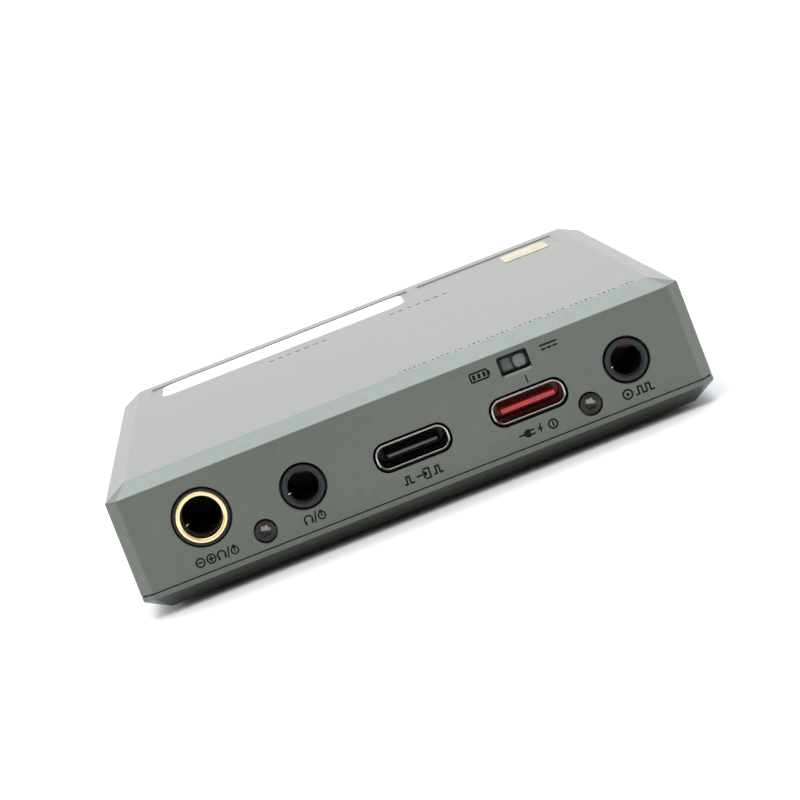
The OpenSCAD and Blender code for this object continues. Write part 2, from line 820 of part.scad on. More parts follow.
// Moving piece: knob, raised step beside it, dust shutter and the stem that reaches into the switch
module switch_slider() color([0.42, 0.44, 0.44]) {
  knob_front = front_y + 0.3;
  carriage_w = switch_travel + knob_gap - carriage_in;
  stem_y = shutter_y + shutter_t;
  box(knob_x, (knob_front + shutter_y) / 2, switch_z - knob_h / 2,
      knob_w, shutter_y - knob_front, knob_h);
  box(knob_x - (knob_w + carriage_w) / 2, carriage_y + carriage_step / 2, switch_z - knob_h / 2,
      carriage_w, carriage_step, knob_h);
  box(knob_x, shutter_y + shutter_t / 2, switch_z - shutter_h / 2, shutter_w, shutter_t, shutter_h);
  box(knob_x, (stem_y + slide_stem_end) / 2, switch_z - slide_stem_h / 2,
      slide_stem_w, slide_stem_end - stem_y, slide_stem_h);
}

module switch_board() color(green_board)
  difference() {
    box(switch_x, front_y + 5.6, slide_board_top - slide_board_t, 15.4, 7, slide_board_t);
    for (s = [-1, 1])
      translate([switch_x + s * slide_boss_x, slide_boss_y, slide_board_top - slide_board_t - 1])
        cylinder(h = slide_board_t + 2, d = mini_screw_d + 0.2);
  }

module switch_board_screws() color(steel)
  for (s = [-1, 1])
    mini_screw([switch_x + s * slide_boss_x, slide_boss_y], slide_board_top - slide_board_t,
               slide_board_t + 2);

// Flat cable from under the switch board down to its connector
module switch_flex() color([0.75, 0.45, 0.12]) {
  flex_t = 0.15;
  flex_w = 5;
  under = slide_board_top - slide_board_t;
  back = front_y + 9.4;
  box(switch_x, back - 1, under - flex_t, flex_w, 2, flex_t);
  box(switch_x, back + flex_t / 2, board_top + 1, flex_w, flex_t, under - board_top - 1);
}

module flex_connector() color("ivory")
  box(switch_x, front_y + 9.5, board_top, 7, 2, 1);

// ---- Side keys ----

// Cap of a side key with its inner flange and stem
module key_cap(y) {
  cap_x = in_x - flange_gap - flange_t;
  top_x = side_x - key_pocket_t + key_proud;
  top_r = 0.18;
  hull() {
    x_stadium(cap_x, y, key_z, key_len, key_h, top_x - top_r - cap_x, $fn = 32);
    x_stadium(top_x - skin, y, key_z, key_len - 2 * top_r, key_h - 2 * top_r, skin, $fn = 32);
  }
  x_stadium(cap_x, y, key_z, key_len + 2 * flange_out, key_h + 2 * flange_out, flange_t);
  stem_x = key_switch_x + key_switch_w + plunger_out;
  translate([stem_x, y, key_z]) rotate([0, 90, 0]) cylinder(h = cap_x - stem_x, d = stem_d);
}

// Plunger of a key switch, pushed in by the key's stem
module key_plunger(y)
  translate([key_switch_x + key_switch_w - plunger_in, y - plunger_w / 2, key_z - plunger_h / 2])
    cube([plunger_in + plunger_out, plunger_w, plunger_h]);

module key_switches() color([0.3, 0.3, 0.3])
  for (y = key_y)
    difference() {
      box(key_switch_x + key_switch_w / 2, y, board_top, key_switch_w, key_switch_l,
          key_switch_h + 1);
      translate([key_switch_x + key_switch_w - plunger_in - key_travel - 0.1,
                 y - plunger_w / 2 - 0.06, key_z - plunger_h / 2 - 0.06])
        cube([plunger_in + key_travel + 1, plunger_w + 0.12, plunger_h + 0.12]);
    }

module power_key() color(slate) key_cap(key_y[0]);

module volume_down_key() color(slate) key_cap(key_y[1]);

module volume_up_key() color(slate) key_cap(key_y[2]);

module power_key_plunger() color(black) key_plunger(key_y[0]);

module volume_down_plunger() color(black) key_plunger(key_y[1]);

module volume_up_plunger() color(black) key_plunger(key_y[2]);

top_case();
bottom_cover();
front_screws();
far_screws();
rubber_feet();
white_label();
gold_badge();
main_board();
board_screws();
battery_cell();
battery_circuit();
battery_tape();
battery_lead_red();
battery_lead_black();
battery_plug();
battery_socket();
balanced_jack_housing();
balanced_jack_ring();
balanced_jack_contacts();
headphone_jack_housing();
headphone_jack_contacts();
coax_jack_housing();
coax_jack_contacts();
data_port_shell();
data_port_tongue();
data_port_contacts();
power_port_shell();
power_port_tongue();
power_port_contacts();
switch_housing();
switch_frame();
switch_slider();
switch_board();
switch_board_screws();
switch_flex();
flex_connector();
dac_chip();
usb_chip();
amplifier_chips();
charger_chip();
shield_can();
clock_oscillators();
power_inductors();
capacitors();
insulator_film();
key_switches();
power_key();
volume_down_key();
volume_up_key();
power_key_plunger();
volume_down_plunger();
volume_up_plunger();
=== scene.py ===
"""Looks of the desktop DAC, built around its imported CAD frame."""
import math

import bmesh
import bpy
from mathutils import Matrix, Vector


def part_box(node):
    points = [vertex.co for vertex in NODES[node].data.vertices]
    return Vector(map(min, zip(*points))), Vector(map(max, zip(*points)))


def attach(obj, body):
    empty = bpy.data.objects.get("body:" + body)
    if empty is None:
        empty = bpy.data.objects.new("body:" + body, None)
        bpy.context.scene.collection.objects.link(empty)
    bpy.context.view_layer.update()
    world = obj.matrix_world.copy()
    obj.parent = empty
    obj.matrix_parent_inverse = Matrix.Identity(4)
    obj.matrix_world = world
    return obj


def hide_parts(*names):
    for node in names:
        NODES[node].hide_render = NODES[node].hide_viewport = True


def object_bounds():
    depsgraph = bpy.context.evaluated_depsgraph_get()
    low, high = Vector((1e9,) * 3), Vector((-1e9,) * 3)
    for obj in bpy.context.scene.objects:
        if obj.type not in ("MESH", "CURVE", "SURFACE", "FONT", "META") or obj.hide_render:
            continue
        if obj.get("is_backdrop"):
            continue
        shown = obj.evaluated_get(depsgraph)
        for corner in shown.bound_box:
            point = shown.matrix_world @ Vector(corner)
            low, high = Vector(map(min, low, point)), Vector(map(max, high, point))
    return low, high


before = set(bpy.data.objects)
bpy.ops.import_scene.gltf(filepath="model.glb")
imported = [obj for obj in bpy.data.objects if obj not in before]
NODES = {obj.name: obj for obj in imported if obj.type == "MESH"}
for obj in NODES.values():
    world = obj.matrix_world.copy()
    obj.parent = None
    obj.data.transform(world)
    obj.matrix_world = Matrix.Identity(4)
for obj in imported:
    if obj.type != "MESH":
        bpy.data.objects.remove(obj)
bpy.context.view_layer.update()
MM = 0.001

# Faces of the case, read from the frame: port face, right side, top, parting line and underside
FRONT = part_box("top_case")[0].y
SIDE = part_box("top_case")[1].x
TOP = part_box("top_case")[1].z
SEAM_TOP = 3 * MM
SEAM = (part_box("top_case")[0].z + SEAM_TOP) / 2
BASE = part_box("bottom_cover")[0].z
# Long edges of the case, where the slopes meet the upright faces
LOW_EDGE = BASE + 1.75 * MM
HIGH_EDGE = TOP - 1.45 * MM
WALL = 1.6 * MM
SCREW_HEAD_R = 1.325 * MM

# Millimetres from here on
BOARD_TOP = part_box("main_board")[1].z / MM
# USB-C shells: corner radius and sheet thickness
PORT_R = 1.38
SHEET = 0.3
# Bores of the 4.4 mm and 3.5 mm jacks, and how far a 3.5 mm jack's axis lies below its block's top
BALANCED_BORE_R = 2.25
SMALL_BORE_R = 1.8
SMALL_AXIS_DOWN = 2.55


# ---------------------------------------------------------------- materials

class Shade:
    """A node material with one Principled shader, and short calls for the nodes that feed it."""

    def __init__(self, name):
        self.mat = bpy.data.materials.new(name + "_look")
        self.mat.use_nodes = True
        self.tree = self.mat.node_tree
        self.bsdf = self.tree.nodes["Principled BSDF"]
        self.coords = self.node("ShaderNodeTexCoord").outputs["Object"]

    def node(self, kind):
        return self.tree.nodes.new(kind)

    def link(self, a, b):
        self.tree.links.new(a, b)

    def fixed(self, **values):
        """Values that are the same all over, set on the shader's own sockets."""
        for key, value in values.items():
            socket = key.replace("_", " ").title().replace("Ior", "IOR")
            self.bsdf.inputs[socket].default_value = value

    def scaled(self, scale):
        """Object coordinates multiplied by scale, a number or three."""
        m = self.node("ShaderNodeMapping")
        m.inputs["Scale"].default_value = (scale,) * 3 if isinstance(scale, (int, float)) else scale
        self.link(self.coords, m.inputs["Vector"])
        return m.outputs["Vector"]

    def noise(self, scale, detail=3.0, rough=0.55):
        n = self.node("ShaderNodeTexNoise")
        n.inputs["Scale"].default_value = 1.0
        n.inputs["Detail"].default_value = detail
        n.inputs["Roughness"].default_value = rough
        self.link(self.scaled(scale), n.inputs["Vector"])
        return n.outputs["Fac"]

    def cells(self, scale):
        n = self.node("ShaderNodeTexVoronoi")
        n.inputs["Scale"].default_value = 1.0
        self.link(self.scaled(scale), n.inputs["Vector"])
        return n.outputs["Distance"]

    def remap(self, value, low, high, to_low=0.0, to_high=1.0):
        n = self.node("ShaderNodeMapRange")
        for key, v in (("From Min", low), ("From Max", high), ("To Min", to_low), ("To Max", to_high)):
            n.inputs[key].default_value = v
        self.link(value, n.inputs["Value"])
        return n.outputs["Result"]

    def math(self, kind, a, b):
        n = self.node("ShaderNodeMath")
        n.operation = kind
        for socket, v in zip(n.inputs, (a, b)):
            if isinstance(v, (int, float)):
                socket.default_value = v
            else:
                self.link(v, socket)
        return n.outputs["Value"]

    def blend(self, factor, a, b):
        """Colour a where the factor socket is 0 and b where it is 1. Each is three numbers or a socket."""
        n = self.node("ShaderNodeMix")
        n.data_type = "RGBA"
        self.link(factor, n.inputs["Factor"])
        for socket, v in ((n.inputs[6], a), (n.inputs[7], b)):
            if isinstance(v, (tuple, list)):
                socket.default_value = (*v, 1.0)
            else:
                self.link(v, socket)
        return n.outputs[2]

    def colour(self, socket):
        self.link(socket, self.bsdf.inputs["Base Color"])

    def roughness(self, socket):
        self.link(socket, self.bsdf.inputs["Roughness"])

    def bump(self, height, distance, strength=1.0):
        n = self.node("ShaderNodeBump")
        n.inputs["Distance"].default_value = distance
        n.inputs["Strength"].default_value = strength
        self.link(height, n.inputs["Height"])
        self.link(n.outputs["Normal"], self.bsdf.inputs["Normal"])

    def position(self, axis):
        n = self.node("ShaderNodeSeparateXYZ")
        self.link(self.coords, n.inputs["Vector"])
        return n.outputs[axis]


def blasted(name, dark, light, rough, grain, nicks=False):
    """Bead-blasted anodised aluminium: fine grain, mottling a millimetre wide, slow drift of tone and small
    bright nicks on the long edges."""
    s = Shade(name)
    s.fixed(metallic=1.0)
    fine = s.noise(grain, 2.0, 0.6)
    drift = s.noise(35.0, 2.0, 0.5)
    mottle = s.noise(900.0, 3.0, 0.6)
    tone = s.math("ADD", s.math("MULTIPLY", fine, 0.4), s.math("MULTIPLY", drift, 0.3))
    tone = s.math("ADD", tone, s.math("MULTIPLY", mottle, 0.3))
    shade = s.blend(s.remap(tone, 0.32, 0.68), dark, light)
    if nicks:
        height = s.position("Z")
        to_low, to_high = (s.math("ABSOLUTE", s.math("SUBTRACT", height, z), 0.0)
                           for z in (LOW_EDGE, HIGH_EDGE))
        near = s.remap(s.math("MINIMUM", to_low, to_high), 0.05 * MM, 0.3 * MM, 1.0, 0.0)
        spots = s.remap(s.cells(140.0), 0.012, 0.035, 1.0, 0.0)
        shade = s.blend(s.math("MULTIPLY", near, spots), shade, (0.75, 0.76, 0.74))
    s.colour(shade)
    s.roughness(s.remap(s.noise(grain * 0.6, 2.0), 0.3, 0.7, rough - 0.03, rough + 0.04))
    s.bump(fine, 0.012 * MM, 0.5)
    return s.mat


def metal(name, dark, light, rough, stretch=(900.0, 120.0, 900.0), bump=0.004):
    """Polished or drawn metal with fine marks, drawn out along one axis."""
    s = Shade(name)
    s.fixed(metallic=1.0)
    lines = s.noise(stretch, 4.0, 0.6)
    s.colour(s.blend(s.remap(lines, 0.3, 0.7), dark, light))
    s.roughness(s.remap(s.noise(1400.0), 0.3, 0.7, rough * 0.75, rough * 1.25))
    s.bump(lines, bump * MM, 0.6)
    return s.mat


def moulded(name, dark, light, rough, grain=2500.0, bump=0.006, **fixed):
    """Moulded plastic, rubber or resin with a fine texture."""
    s = Shade(name)
    s.fixed(**fixed)
    fine = s.noise(grain, 3.0)
    s.colour(s.blend(s.remap(s.noise(260.0, 3.0), 0.3, 0.7), dark, light))
    s.roughness(s.remap(fine, 0.3, 0.7, rough - 0.06, rough + 0.06))
    s.bump(fine, bump * MM, 0.5)
    return s.mat


def wrinkled(name, dark, light, rough, metallic, scale=220.0, bump=0.03):
    """Foil or film that has pulled into soft wrinkles."""
    s = Shade(name)
    s.fixed(metallic=metallic)
    folds = s.noise((scale, scale * 0.35, scale), 5.0, 0.6)
    s.colour(s.blend(s.remap(folds, 0.3, 0.7), dark, light))
    s.roughness(s.remap(s.noise(1800.0), 0.3, 0.7, rough - 0.05, rough + 0.08))
    s.bump(folds, bump * MM, 0.5)
    return s.mat


def board(name):
    """Solder mask over copper tracks, with tinned pads."""
    s = Shade(name)
    s.fixed(coat_weight=0.4, coat_roughness=0.15)
    brick = s.node("ShaderNodeTexBrick")
    brick.inputs["Scale"].default_value = 1.0
    brick.inputs["Mortar Size"].default_value = 0.06
    s.link(s.scaled((420.0, 420.0, 420.0)), brick.inputs["Vector"])
    tracks = s.remap(brick.outputs["Fac"], 0.0, 1.0)
    mask = s.blend(tracks, (0.006, 0.035, 0.026), (0.012, 0.075, 0.05))
    pads = s.remap(s.cells(800.0), 0.10, 0.16, 1.0, 0.0)
    s.colour(s.blend(pads, mask, (0.45, 0.42, 0.34)))
    s.roughness(s.remap(s.noise(900.0), 0.3, 0.7, 0.28, 0.42))
    s.bump(tracks, 0.02 * MM, 0.5)
    return s.mat


def paper(name):
    """White label stock with faint fibres."""
    s = Shade(name)
    fibres = s.noise((2200.0, 500.0, 2200.0), 4.0, 0.65)
    s.colour(s.blend(s.remap(fibres, 0.3, 0.7), (0.79, 0.81, 0.85), (0.84, 0.86, 0.89)))
    s.fixed(specular_ior_level=0.8)
    s.roughness(s.remap(fibres, 0.3, 0.7, 0.48, 0.62))
    s.bump(fibres, 0.006 * MM, 0.5)
    return s.mat


MATS = {
    "case_aluminium": blasted("case_aluminium", (0.121, 0.131, 0.113), (0.151, 0.161, 0.141), 0.32, 7000.0,
                              True),
    "key_aluminium": blasted("key_aluminium", (0.135, 0.154, 0.140), (0.165, 0.185, 0.168), 0.34, 7000.0),
    "dark_screw_steel": metal("dark_screw_steel", (0.030, 0.027, 0.026), (0.054, 0.049, 0.047), 0.38),
    # Painted highlight: lighter steel for the upper half of the screw recesses
    "painted_highlight_steel": metal("painted_highlight_steel", (0.165, 0.155, 0.150), (0.245, 0.229, 0.222), 0.30),
    # Painted shade: near-black steel for the rim of the screw heads
    "painted_shade_rim_steel": metal("painted_shade_rim_steel", (0.006, 0.006, 0.006), (0.012, 0.011, 0.011), 0.5),
    # Painted shade: darker steel for the lower lip and outer turn of the port shells
    "painted_shade_port_steel": metal("painted_shade_port_steel", (0.05, 0.044, 0.040), (0.09, 0.080, 0.074), 0.35),
    "bright_screw_steel": metal("bright_screw_steel", (0.50, 0.50, 0.50), (0.66, 0.66, 0.66), 0.25),
    "foot_rubber": moulded("foot_rubber", (0.016, 0.016, 0.017), (0.030, 0.030, 0.031), 0.75, 1500.0, 0.03),
    "label_paper": paper("label_paper"),
    "badge_foil": wrinkled("badge_foil", (0.44, 0.39, 0.285), (0.53, 0.47, 0.335), 0.48, 0.6, 500.0, 0.004),
    "circuit_board": board("circuit_board"),
    "cell_foil": wrinkled("cell_foil", (0.42, 0.43, 0.44), (0.60, 0.61, 0.62), 0.35, 1.0),
    "amber_tape": wrinkled("amber_tape", (0.50, 0.24, 0.03), (0.62, 0.34, 0.06), 0.25, 0.0, 400.0, 0.01),
    "foam_tape": moulded("foam_tape", (0.50, 0.50, 0.47), (0.66, 0.66, 0.62), 0.85, 900.0, 0.05),
    "red_insulation": moulded("red_insulation", (0.42, 0.012, 0.010), (0.52, 0.022, 0.016), 0.42),
    "black_insulation": moulded("black_insulation", (0.014, 0.014, 0.015), (0.026, 0.026, 0.027), 0.45),
    "connector_plastic": moulded("connector_plastic", (0.70, 0.66, 0.54), (0.80, 0.76, 0.64), 0.45),
    "black_plastic": moulded("black_plastic", (0.008, 0.008, 0.009), (0.014, 0.014, 0.015), 0.32,
                             specular_ior_level=0.3),
    "jack_black": moulded("jack_black", (0.014, 0.013, 0.010), (0.022, 0.020, 0.016), 0.42,
                          specular_ior_level=0.3),
    "dark_grey_plastic": moulded("dark_grey_plastic", (0.012, 0.0135, 0.0155), (0.018, 0.0195, 0.0225), 0.36,
                                 specular_ior_level=0.35),
    "red_plastic": moulded("red_plastic", (0.38, 0.022, 0.018), (0.48, 0.034, 0.027), 0.30),
    "gold_plating": metal("gold_plating", (0.94, 0.74, 0.42), (0.98, 0.80, 0.48), 0.20,
                          (900.0, 900.0, 900.0), 0.0005),
    "dull_gold": metal("dull_gold", (0.10, 0.065, 0.03), (0.16, 0.105, 0.05), 0.45),
    # Painted shade: dark bronze colour for the upper jack contacts
    "painted_shade_bronze": metal("painted_shade_bronze", (0.07, 0.028, 0.013), (0.15, 0.065, 0.030), 0.35),
    "dull_copper": metal("dull_copper", (0.30, 0.040, 0.030), (0.38, 0.055, 0.042), 0.40),
    "port_steel": metal("port_steel", (0.34, 0.33, 0.32), (0.48, 0.47, 0.45), 0.18),
    "can_steel": metal("can_steel", (0.50, 0.50, 0.50), (0.64, 0.64, 0.63), 0.30),
    "knob_grey": moulded("knob_grey", (0.106, 0.119, 0.106), (0.132, 0.145, 0.132), 0.36),
    # Painted highlight: lighter grey for the front edge of the data port's tongue
    "painted_highlight_nose": moulded("painted_highlight_nose", (0.050, 0.053, 0.060), (0.075, 0.079, 0.088), 0.34),
    # Painted shade: darker grey for the step beside the switch knob
    "painted_shade_grey": moulded("painted_shade_grey", (0.074, 0.085, 0.070), (0.094, 0.106, 0.090), 0.45),
    "chip_resin": moulded("chip_resin", (0.012, 0.012, 0.013), (0.024, 0.024, 0.025), 0.55, 3000.0, 0.01),
    "ferrite_grey": moulded("ferrite_grey", (0.045, 0.045, 0.048), (0.070, 0.070, 0.074), 0.65, 1800.0, 0.03),
    "capacitor_sleeve": metal("capacitor_sleeve", (0.55, 0.56, 0.57), (0.70, 0.71, 0.72), 0.28),
    "black_film": wrinkled("black_film", (0.012, 0.012, 0.013), (0.022, 0.022, 0.023), 0.40, 0.0,
                           300.0, 0.01),
}
INK = moulded("print_ink", (0.004, 0.006, 0.005), (0.008, 0.011, 0.009), 0.70, 4000.0, 0.002,
              specular_ior_level=0.1)
PALE_INK = moulded("pale_print_ink", (0.50, 0.52, 0.52), (0.58, 0.60, 0.60), 0.60, 4000.0, 0.002)

SLOTS = {name: node.data.materials[0].name for name, node in NODES.items()}
for name, node in NODES.items():
    node.data.materials[0] = MATS[SLOTS[name]]
NODES["data_port_contacts"].data.materials[0] = MATS["dull_gold"]
NODES["power_port_contacts"].data.materials[0] = MATS["dull_copper"]


# ---------------------------------------------------------------- mesh tools

def ring(radius, centre, axis, count):
    """Points of a circle round axis 'Y' or 'Z' through centre."""
    points = []
    for i in range(count):
        a = 2 * math.pi * i / count
        u, v = radius * math.cos(a), radius * math.sin(a)
        offset = {"Y": (u, 0, v), "Z": (u, v, 0)}[axis]
        points.append(Vector(centre) + Vector(offset))
    return points


def stadium(w, h, count=12):
    """Outline with round ends, w wide and h high, as (u, v) pairs."""
    r = h / 2
    points = []
    for side, start in ((1, -90), (-1, 90)):
        for i in range(count + 1):
            a = math.radians(start + 180 * i / count)
            points.append((side * (w / 2 - r) + r * math.cos(a), r * math.sin(a)))
    return points


def rounded(w, h, r, count=6):
    """Rectangle outline with rounded corners, as (u, v) pairs."""
    points = []
    for sx, sy, start in ((1, -1, -90), (1, 1, 0), (-1, 1, 90), (-1, -1, 180)):
        for i in range(count + 1):
            a = math.radians(start + 90 * i / count)
            points.append((sx * (w / 2 - r) + r * math.cos(a), sy * (h / 2 - r) + r * math.sin(a)))
    return points


def skin(bm, loops, closed=False, cap_first=False, cap_last=False):
    """Quads between each loop of points and the next, with flat caps where asked."""
    rows = [[bm.verts.new(p) for p in loop] for loop in loops]
    n = len(rows[0])
    pairs = list(zip(rows, rows[1:]))
    if closed:
        pairs.append((rows[-1], rows[0]))
    for a, b in pairs:
        for i in range(n):
            j = (i + 1) % n
            bm.faces.new((a[i], a[j], b[j], b[i]))
    if cap_first:
        bm.faces.new(rows[0])
    if cap_last:
        bm.faces.new(rows[-1])


def revolve(bm, profile, centre, axis, count, closed=False):
    """Turns (radius, distance along the axis) pairs round an axis through centre. The ends are capped
    unless the profile is a closed outline."""
    step = {"Y": Vector((0, 1, 0)), "Z": Vector((0, 0, 1))}[axis]
    loops = [ring(r, Vector(centre) + step * d, axis, count) for r, d in profile]
    skin(bm, loops, closed, not closed, not closed)


def block(bm, low, high, bevel=0.0):
    """Box between two corners with its edges rounded."""
    low, high = Vector(low), Vector(high)
    made = bmesh.ops.create_cube(bm, size=1.0)["verts"]
    for v in made:
        v.co = Vector([(lo + hi) / 2 + c * (hi - lo) for lo, hi, c in zip(low, high, v.co)])
    if bevel:
        edges = {e for v in made for e in v.link_edges}
        bmesh.ops.bevel(bm, geom=list(edges), offset=bevel, segments=3, affect="EDGES", profile=0.5)


def piece(name, bm, mat, body, replaced=(), sharp=35.0):
    """Turns bm into a named object that rides on a body. Edges sharper than that many degrees stay
    sharp in the shading."""
    bmesh.ops.recalc_face_normals(bm, faces=bm.faces)
    me = bpy.data.meshes.new(name)
    bm.to_mesh(me)
    bm.free()
    for p in me.polygons:
        p.use_smooth = True
    me.set_sharp_from_angle(angle=math.radians(sharp))
    me.materials.append(mat)
    ob = bpy.data.objects.new(name, me)
    bpy.context.scene.collection.objects.link(ob)
    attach(ob, body)
    if replaced:
        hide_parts(*replaced)
    return ob


def centre_of(node):
    low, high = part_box(node)
    return (low + high) / 2


# ---------------------------------------------------------------- flat print

class Print:
    """Closed thin solids laid on a plane. place(u, v, w) turns millimetres on the plane, and
    out of it, into a point in the frame."""

    def __init__(self, place, thick=0.012):
        self.bm = bmesh.new()
        self.place = place
        self.thick = thick

    def plate(self, outline):
        """Filled outline."""
        rows = [[self.bm.verts.new(self.place(u, v, w)) for u, v in outline] for w in (0.0, self.thick)]
        n = len(outline)
        for i in range(n):
            j = (i + 1) % n
            self.bm.faces.new((rows[0][i], rows[0][j], rows[1][j], rows[1][i]))
        for row in rows:
            self.bm.faces.new(row)

    def band(self, inner, outer):
        """Ring between two outlines with the same number of points."""
        loops = [[self.place(u, v, w) for u, v in line]
                 for line, w in ((inner, 0.0), (outer, 0.0), (outer, self.thick), (inner, self.thick))]
        skin(self.bm, loops, closed=True)

    def stroke(self, points, width, round_ends=True):
        """Open line of that width, with mitred joints."""
        r = width / 2
        left, right = [], []
        n = len(points)
        for i, (x, y) in enumerate(points):
            before = Vector(points[i]) - Vector(points[i - 1]) if i else None
            after = Vector(points[i + 1]) - Vector(points[i]) if i < n - 1 else None
            dirs = [d.normalized() for d in (before, after) if d is not None]
            d = (dirs[0] + dirs[-1]).normalized()
            reach = r / max(0.35, d.dot(dirs[0]))
            side = Vector((-d.y, d.x)) * reach
            left.append((x + side.x, y + side.y))
            right.append((x - side.x, y - side.y))
        ends = []
        for at, toward in ((points[-1], points[-2]), (points[0], points[1])):
            d = (Vector(at) - Vector(toward)).normalized()
            base = math.atan2(d.y, d.x)
            arc = []
            if round_ends:
                for k in range(1, 6):
                    a = base + math.radians(90 - 30 * k)
                    arc.append((at[0] + r * math.cos(a), at[1] + r * math.sin(a)))
            ends.append(arc)
        self.plate(left + ends[0] + right[::-1] + ends[1])

    def arc(self, cx, cy, r, start, stop, width, steps=20):
        pts = []
        for i in range(steps + 1):
            a = math.radians(start + (stop - start) * i / steps)
            pts.append((cx + r * math.cos(a), cy + r * math.sin(a)))
        self.stroke(pts, width)

    def circle(self, cx, cy, r, width, steps=32):
        def line(q):
            return [(cx + q * math.cos(2 * math.pi * i / steps), cy + q * math.sin(2 * math.pi * i / steps))
                    for i in range(steps)]
        self.band(line(r - width / 2), line(r + width / 2))

    def disc(self, cx, cy, r, steps=24):
        self.plate([(cx + r * math.cos(2 * math.pi * i / steps), cy + r * math.sin(2 * math.pi * i / steps))
                    for i in range(steps)])

    def bar(self, cx, cy, w, h, r=0.0):
        if r:
            self.plate([(cx + u, cy + v) for u, v in rounded(w, h, r, 3)])
        else:
            self.plate([(cx - w / 2, cy - h / 2), (cx + w / 2, cy - h / 2),
                        (cx + w / 2, cy + h / 2), (cx - w / 2, cy + h / 2)])

    def frame(self, cx, cy, w, h, width, r=0.15):
        inner = [(cx + u, cy + v) for u, v in rounded(w - width, h - width, max(0.02, r - width / 2), 4)]
        outer = [(cx + u, cy + v) for u, v in rounded(w + width, h + width, r + width / 2, 4)]
        self.band(inner, outer)


def on_port_face(u, v, w):
    return Vector((u * MM, FRONT - w * MM, v * MM))


def on_top(u, v, w):
    return Vector((u * MM, v * MM, TOP + w * MM))


# ---------------------------------------------------------------- icons

# Width of the printed lines, in millimetres
LINE = 0.21


def phones_icon(p, x, y, s=1.0):
    """Headphones, s times 1.2 mm high."""
    p.arc(x, y - 0.02 * s, 0.52 * s, -15, 195, LINE * s)
    for side in (-1, 1):
        p.bar(x + side * 0.43 * s, y - 0.36 * s, 0.28 * s, 0.52 * s, 0.08 * s)


def out_icon(p, x, y, s=1.0):
    """Open circle with an arrow that leaves it upwards."""
    p.arc(x, y - 0.1 * s, 0.48 * s, 135, 405, LINE * s)
    p.stroke([(x, y - 0.15 * s), (x, y + 0.5 * s)], LINE * s)
    p.stroke([(x - 0.24 * s, y + 0.34 * s), (x, y + 0.62 * s), (x + 0.24 * s, y + 0.34 * s)], LINE * s)


def slash(p, x, y):
    p.stroke([(x - 0.15, y - 0.6), (x + 0.15, y + 0.6)], LINE * 0.8)


def plus_minus_icon(p, x, y):
    """Plus and minus, each in a circle: a balanced pair."""
    for side in (-1, 1):
        cx = x + side * 0.66
        p.circle(cx, y, 0.5, LINE * 0.9)
        p.stroke([(cx - 0.24, y), (cx + 0.24, y)], LINE * 0.9)
    p.stroke([(x + 0.66, y - 0.24), (x + 0.66, y + 0.24)], LINE * 0.9)


def data_in_icon(p, x, y):
    """Arrow into a bracket, between two trains of pulses."""
    p.stroke([(x - 0.75, y), (x + 0.35, y)], LINE)
    p.stroke([(x + 0.02, y + 0.34), (x + 0.38, y), (x + 0.02, y - 0.34)], LINE)
    p.stroke([(x + 0.2, y + 0.56), (x + 0.78, y + 0.56), (x + 0.78, y - 0.56), (x + 0.2, y - 0.56)], LINE)
    p.stroke([(x - 2.3, y - 0.42), (x - 2.0, y - 0.42), (x - 2.0, y + 0.42), (x - 1.6, y + 0.42),
              (x - 1.6, y - 0.42), (x - 1.2, y - 0.42)], LINE)
    p.stroke([(x + 1.25, y - 0.42), (x + 1.55, y - 0.42), (x + 1.55, y + 0.42), (x + 1.95, y + 0.42),
              (x + 1.95, y - 0.42), (x + 2.3, y - 0.42)], LINE)


def power_in_icon(p, x, y):
    """Plug with its lead, then a bolt."""
    p.stroke([(x - 2.35, y), (x - 1.75, y)], LINE)
    p.plate([(x - 1.75 + u, y + v) for u, v in
             ((0, -0.3), (0.35, -0.46), (0.75, -0.46), (0.75, 0.46), (0.35, 0.46), (0, 0.3))])
    for side in (-1, 1):
        p.stroke([(x - 1.0, y + side * 0.24), (x - 0.55, y + side * 0.24)], LINE)
    bolt = ((0.30, 0.62), (-0.12, -0.08), (0.16, -0.08), (0.02, -0.62), (0.52, 0.14), (0.22, 0.14),
            (0.50, 0.62))
    p.plate([(x + u, y + v) for u, v in bolt])
    p.circle(x + 1.75, y, 0.5, LINE)
    p.stroke([(x + 1.75, y - 0.2), (x + 1.75, y + 0.2)], LINE)


def coax_icon(p, x, y):
    """Centre conductor and screen, beside a train of pulses."""
    p.circle(x - 1.3, y, 0.54, LINE)
    p.disc(x - 1.3, y, 0.2)
    p.stroke([(x - 0.35, y - 0.42), (x, y - 0.42), (x, y + 0.42), (x + 0.45, y + 0.42), (x + 0.45, y - 0.42),
              (x + 0.95, y - 0.42), (x + 0.95, y + 0.42), (x + 1.4, y + 0.42), (x + 1.4, y - 0.42),
              (x + 1.8, y - 0.42)], LINE)


def battery_icon(p, x, y):
    p.frame(x - 0.1, y, 2.1, 1.0, LINE, 0.2)
    p.bar(x + 1.12, y, 0.2, 0.5, 0.05)
    for i in range(3):
        p.bar(x - 0.72 + 0.62 * i, y, 0.34, 0.6, 0.04)


def direct_current_icon(p, x, y):
    """A whole line over a broken one."""
    p.stroke([(x - 0.95, y + 0.24), (x + 0.95, y + 0.24)], LINE)
    for i in (-1, 0, 1):
        p.stroke([(x + 0.7 * i - 0.2, y - 0.24), (x + 0.7 * i + 0.2, y - 0.24)], LINE)


# Heights of the rows of print on the port face
LOW_ROW = SEAM / MM + 1.52
HIGH_ROW_LEFT = SEAM / MM + 9.72
HIGH_ROW_RIGHT = SEAM / MM + 10.15

balanced = centre_of("balanced_jack_ring") / MM
phones_x = (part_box("headphone_jack_housing")[0].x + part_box("headphone_jack_housing")[1].x) / 2 / MM
coax_x = (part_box("coax_jack_housing")[0].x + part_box("coax_jack_housing")[1].x) / 2 / MM
data = centre_of("data_port_shell")
power = centre_of("power_port_shell")
switch_x = centre_of("switch_board").x / MM
tick_x = centre_of("switch_slider").x / MM

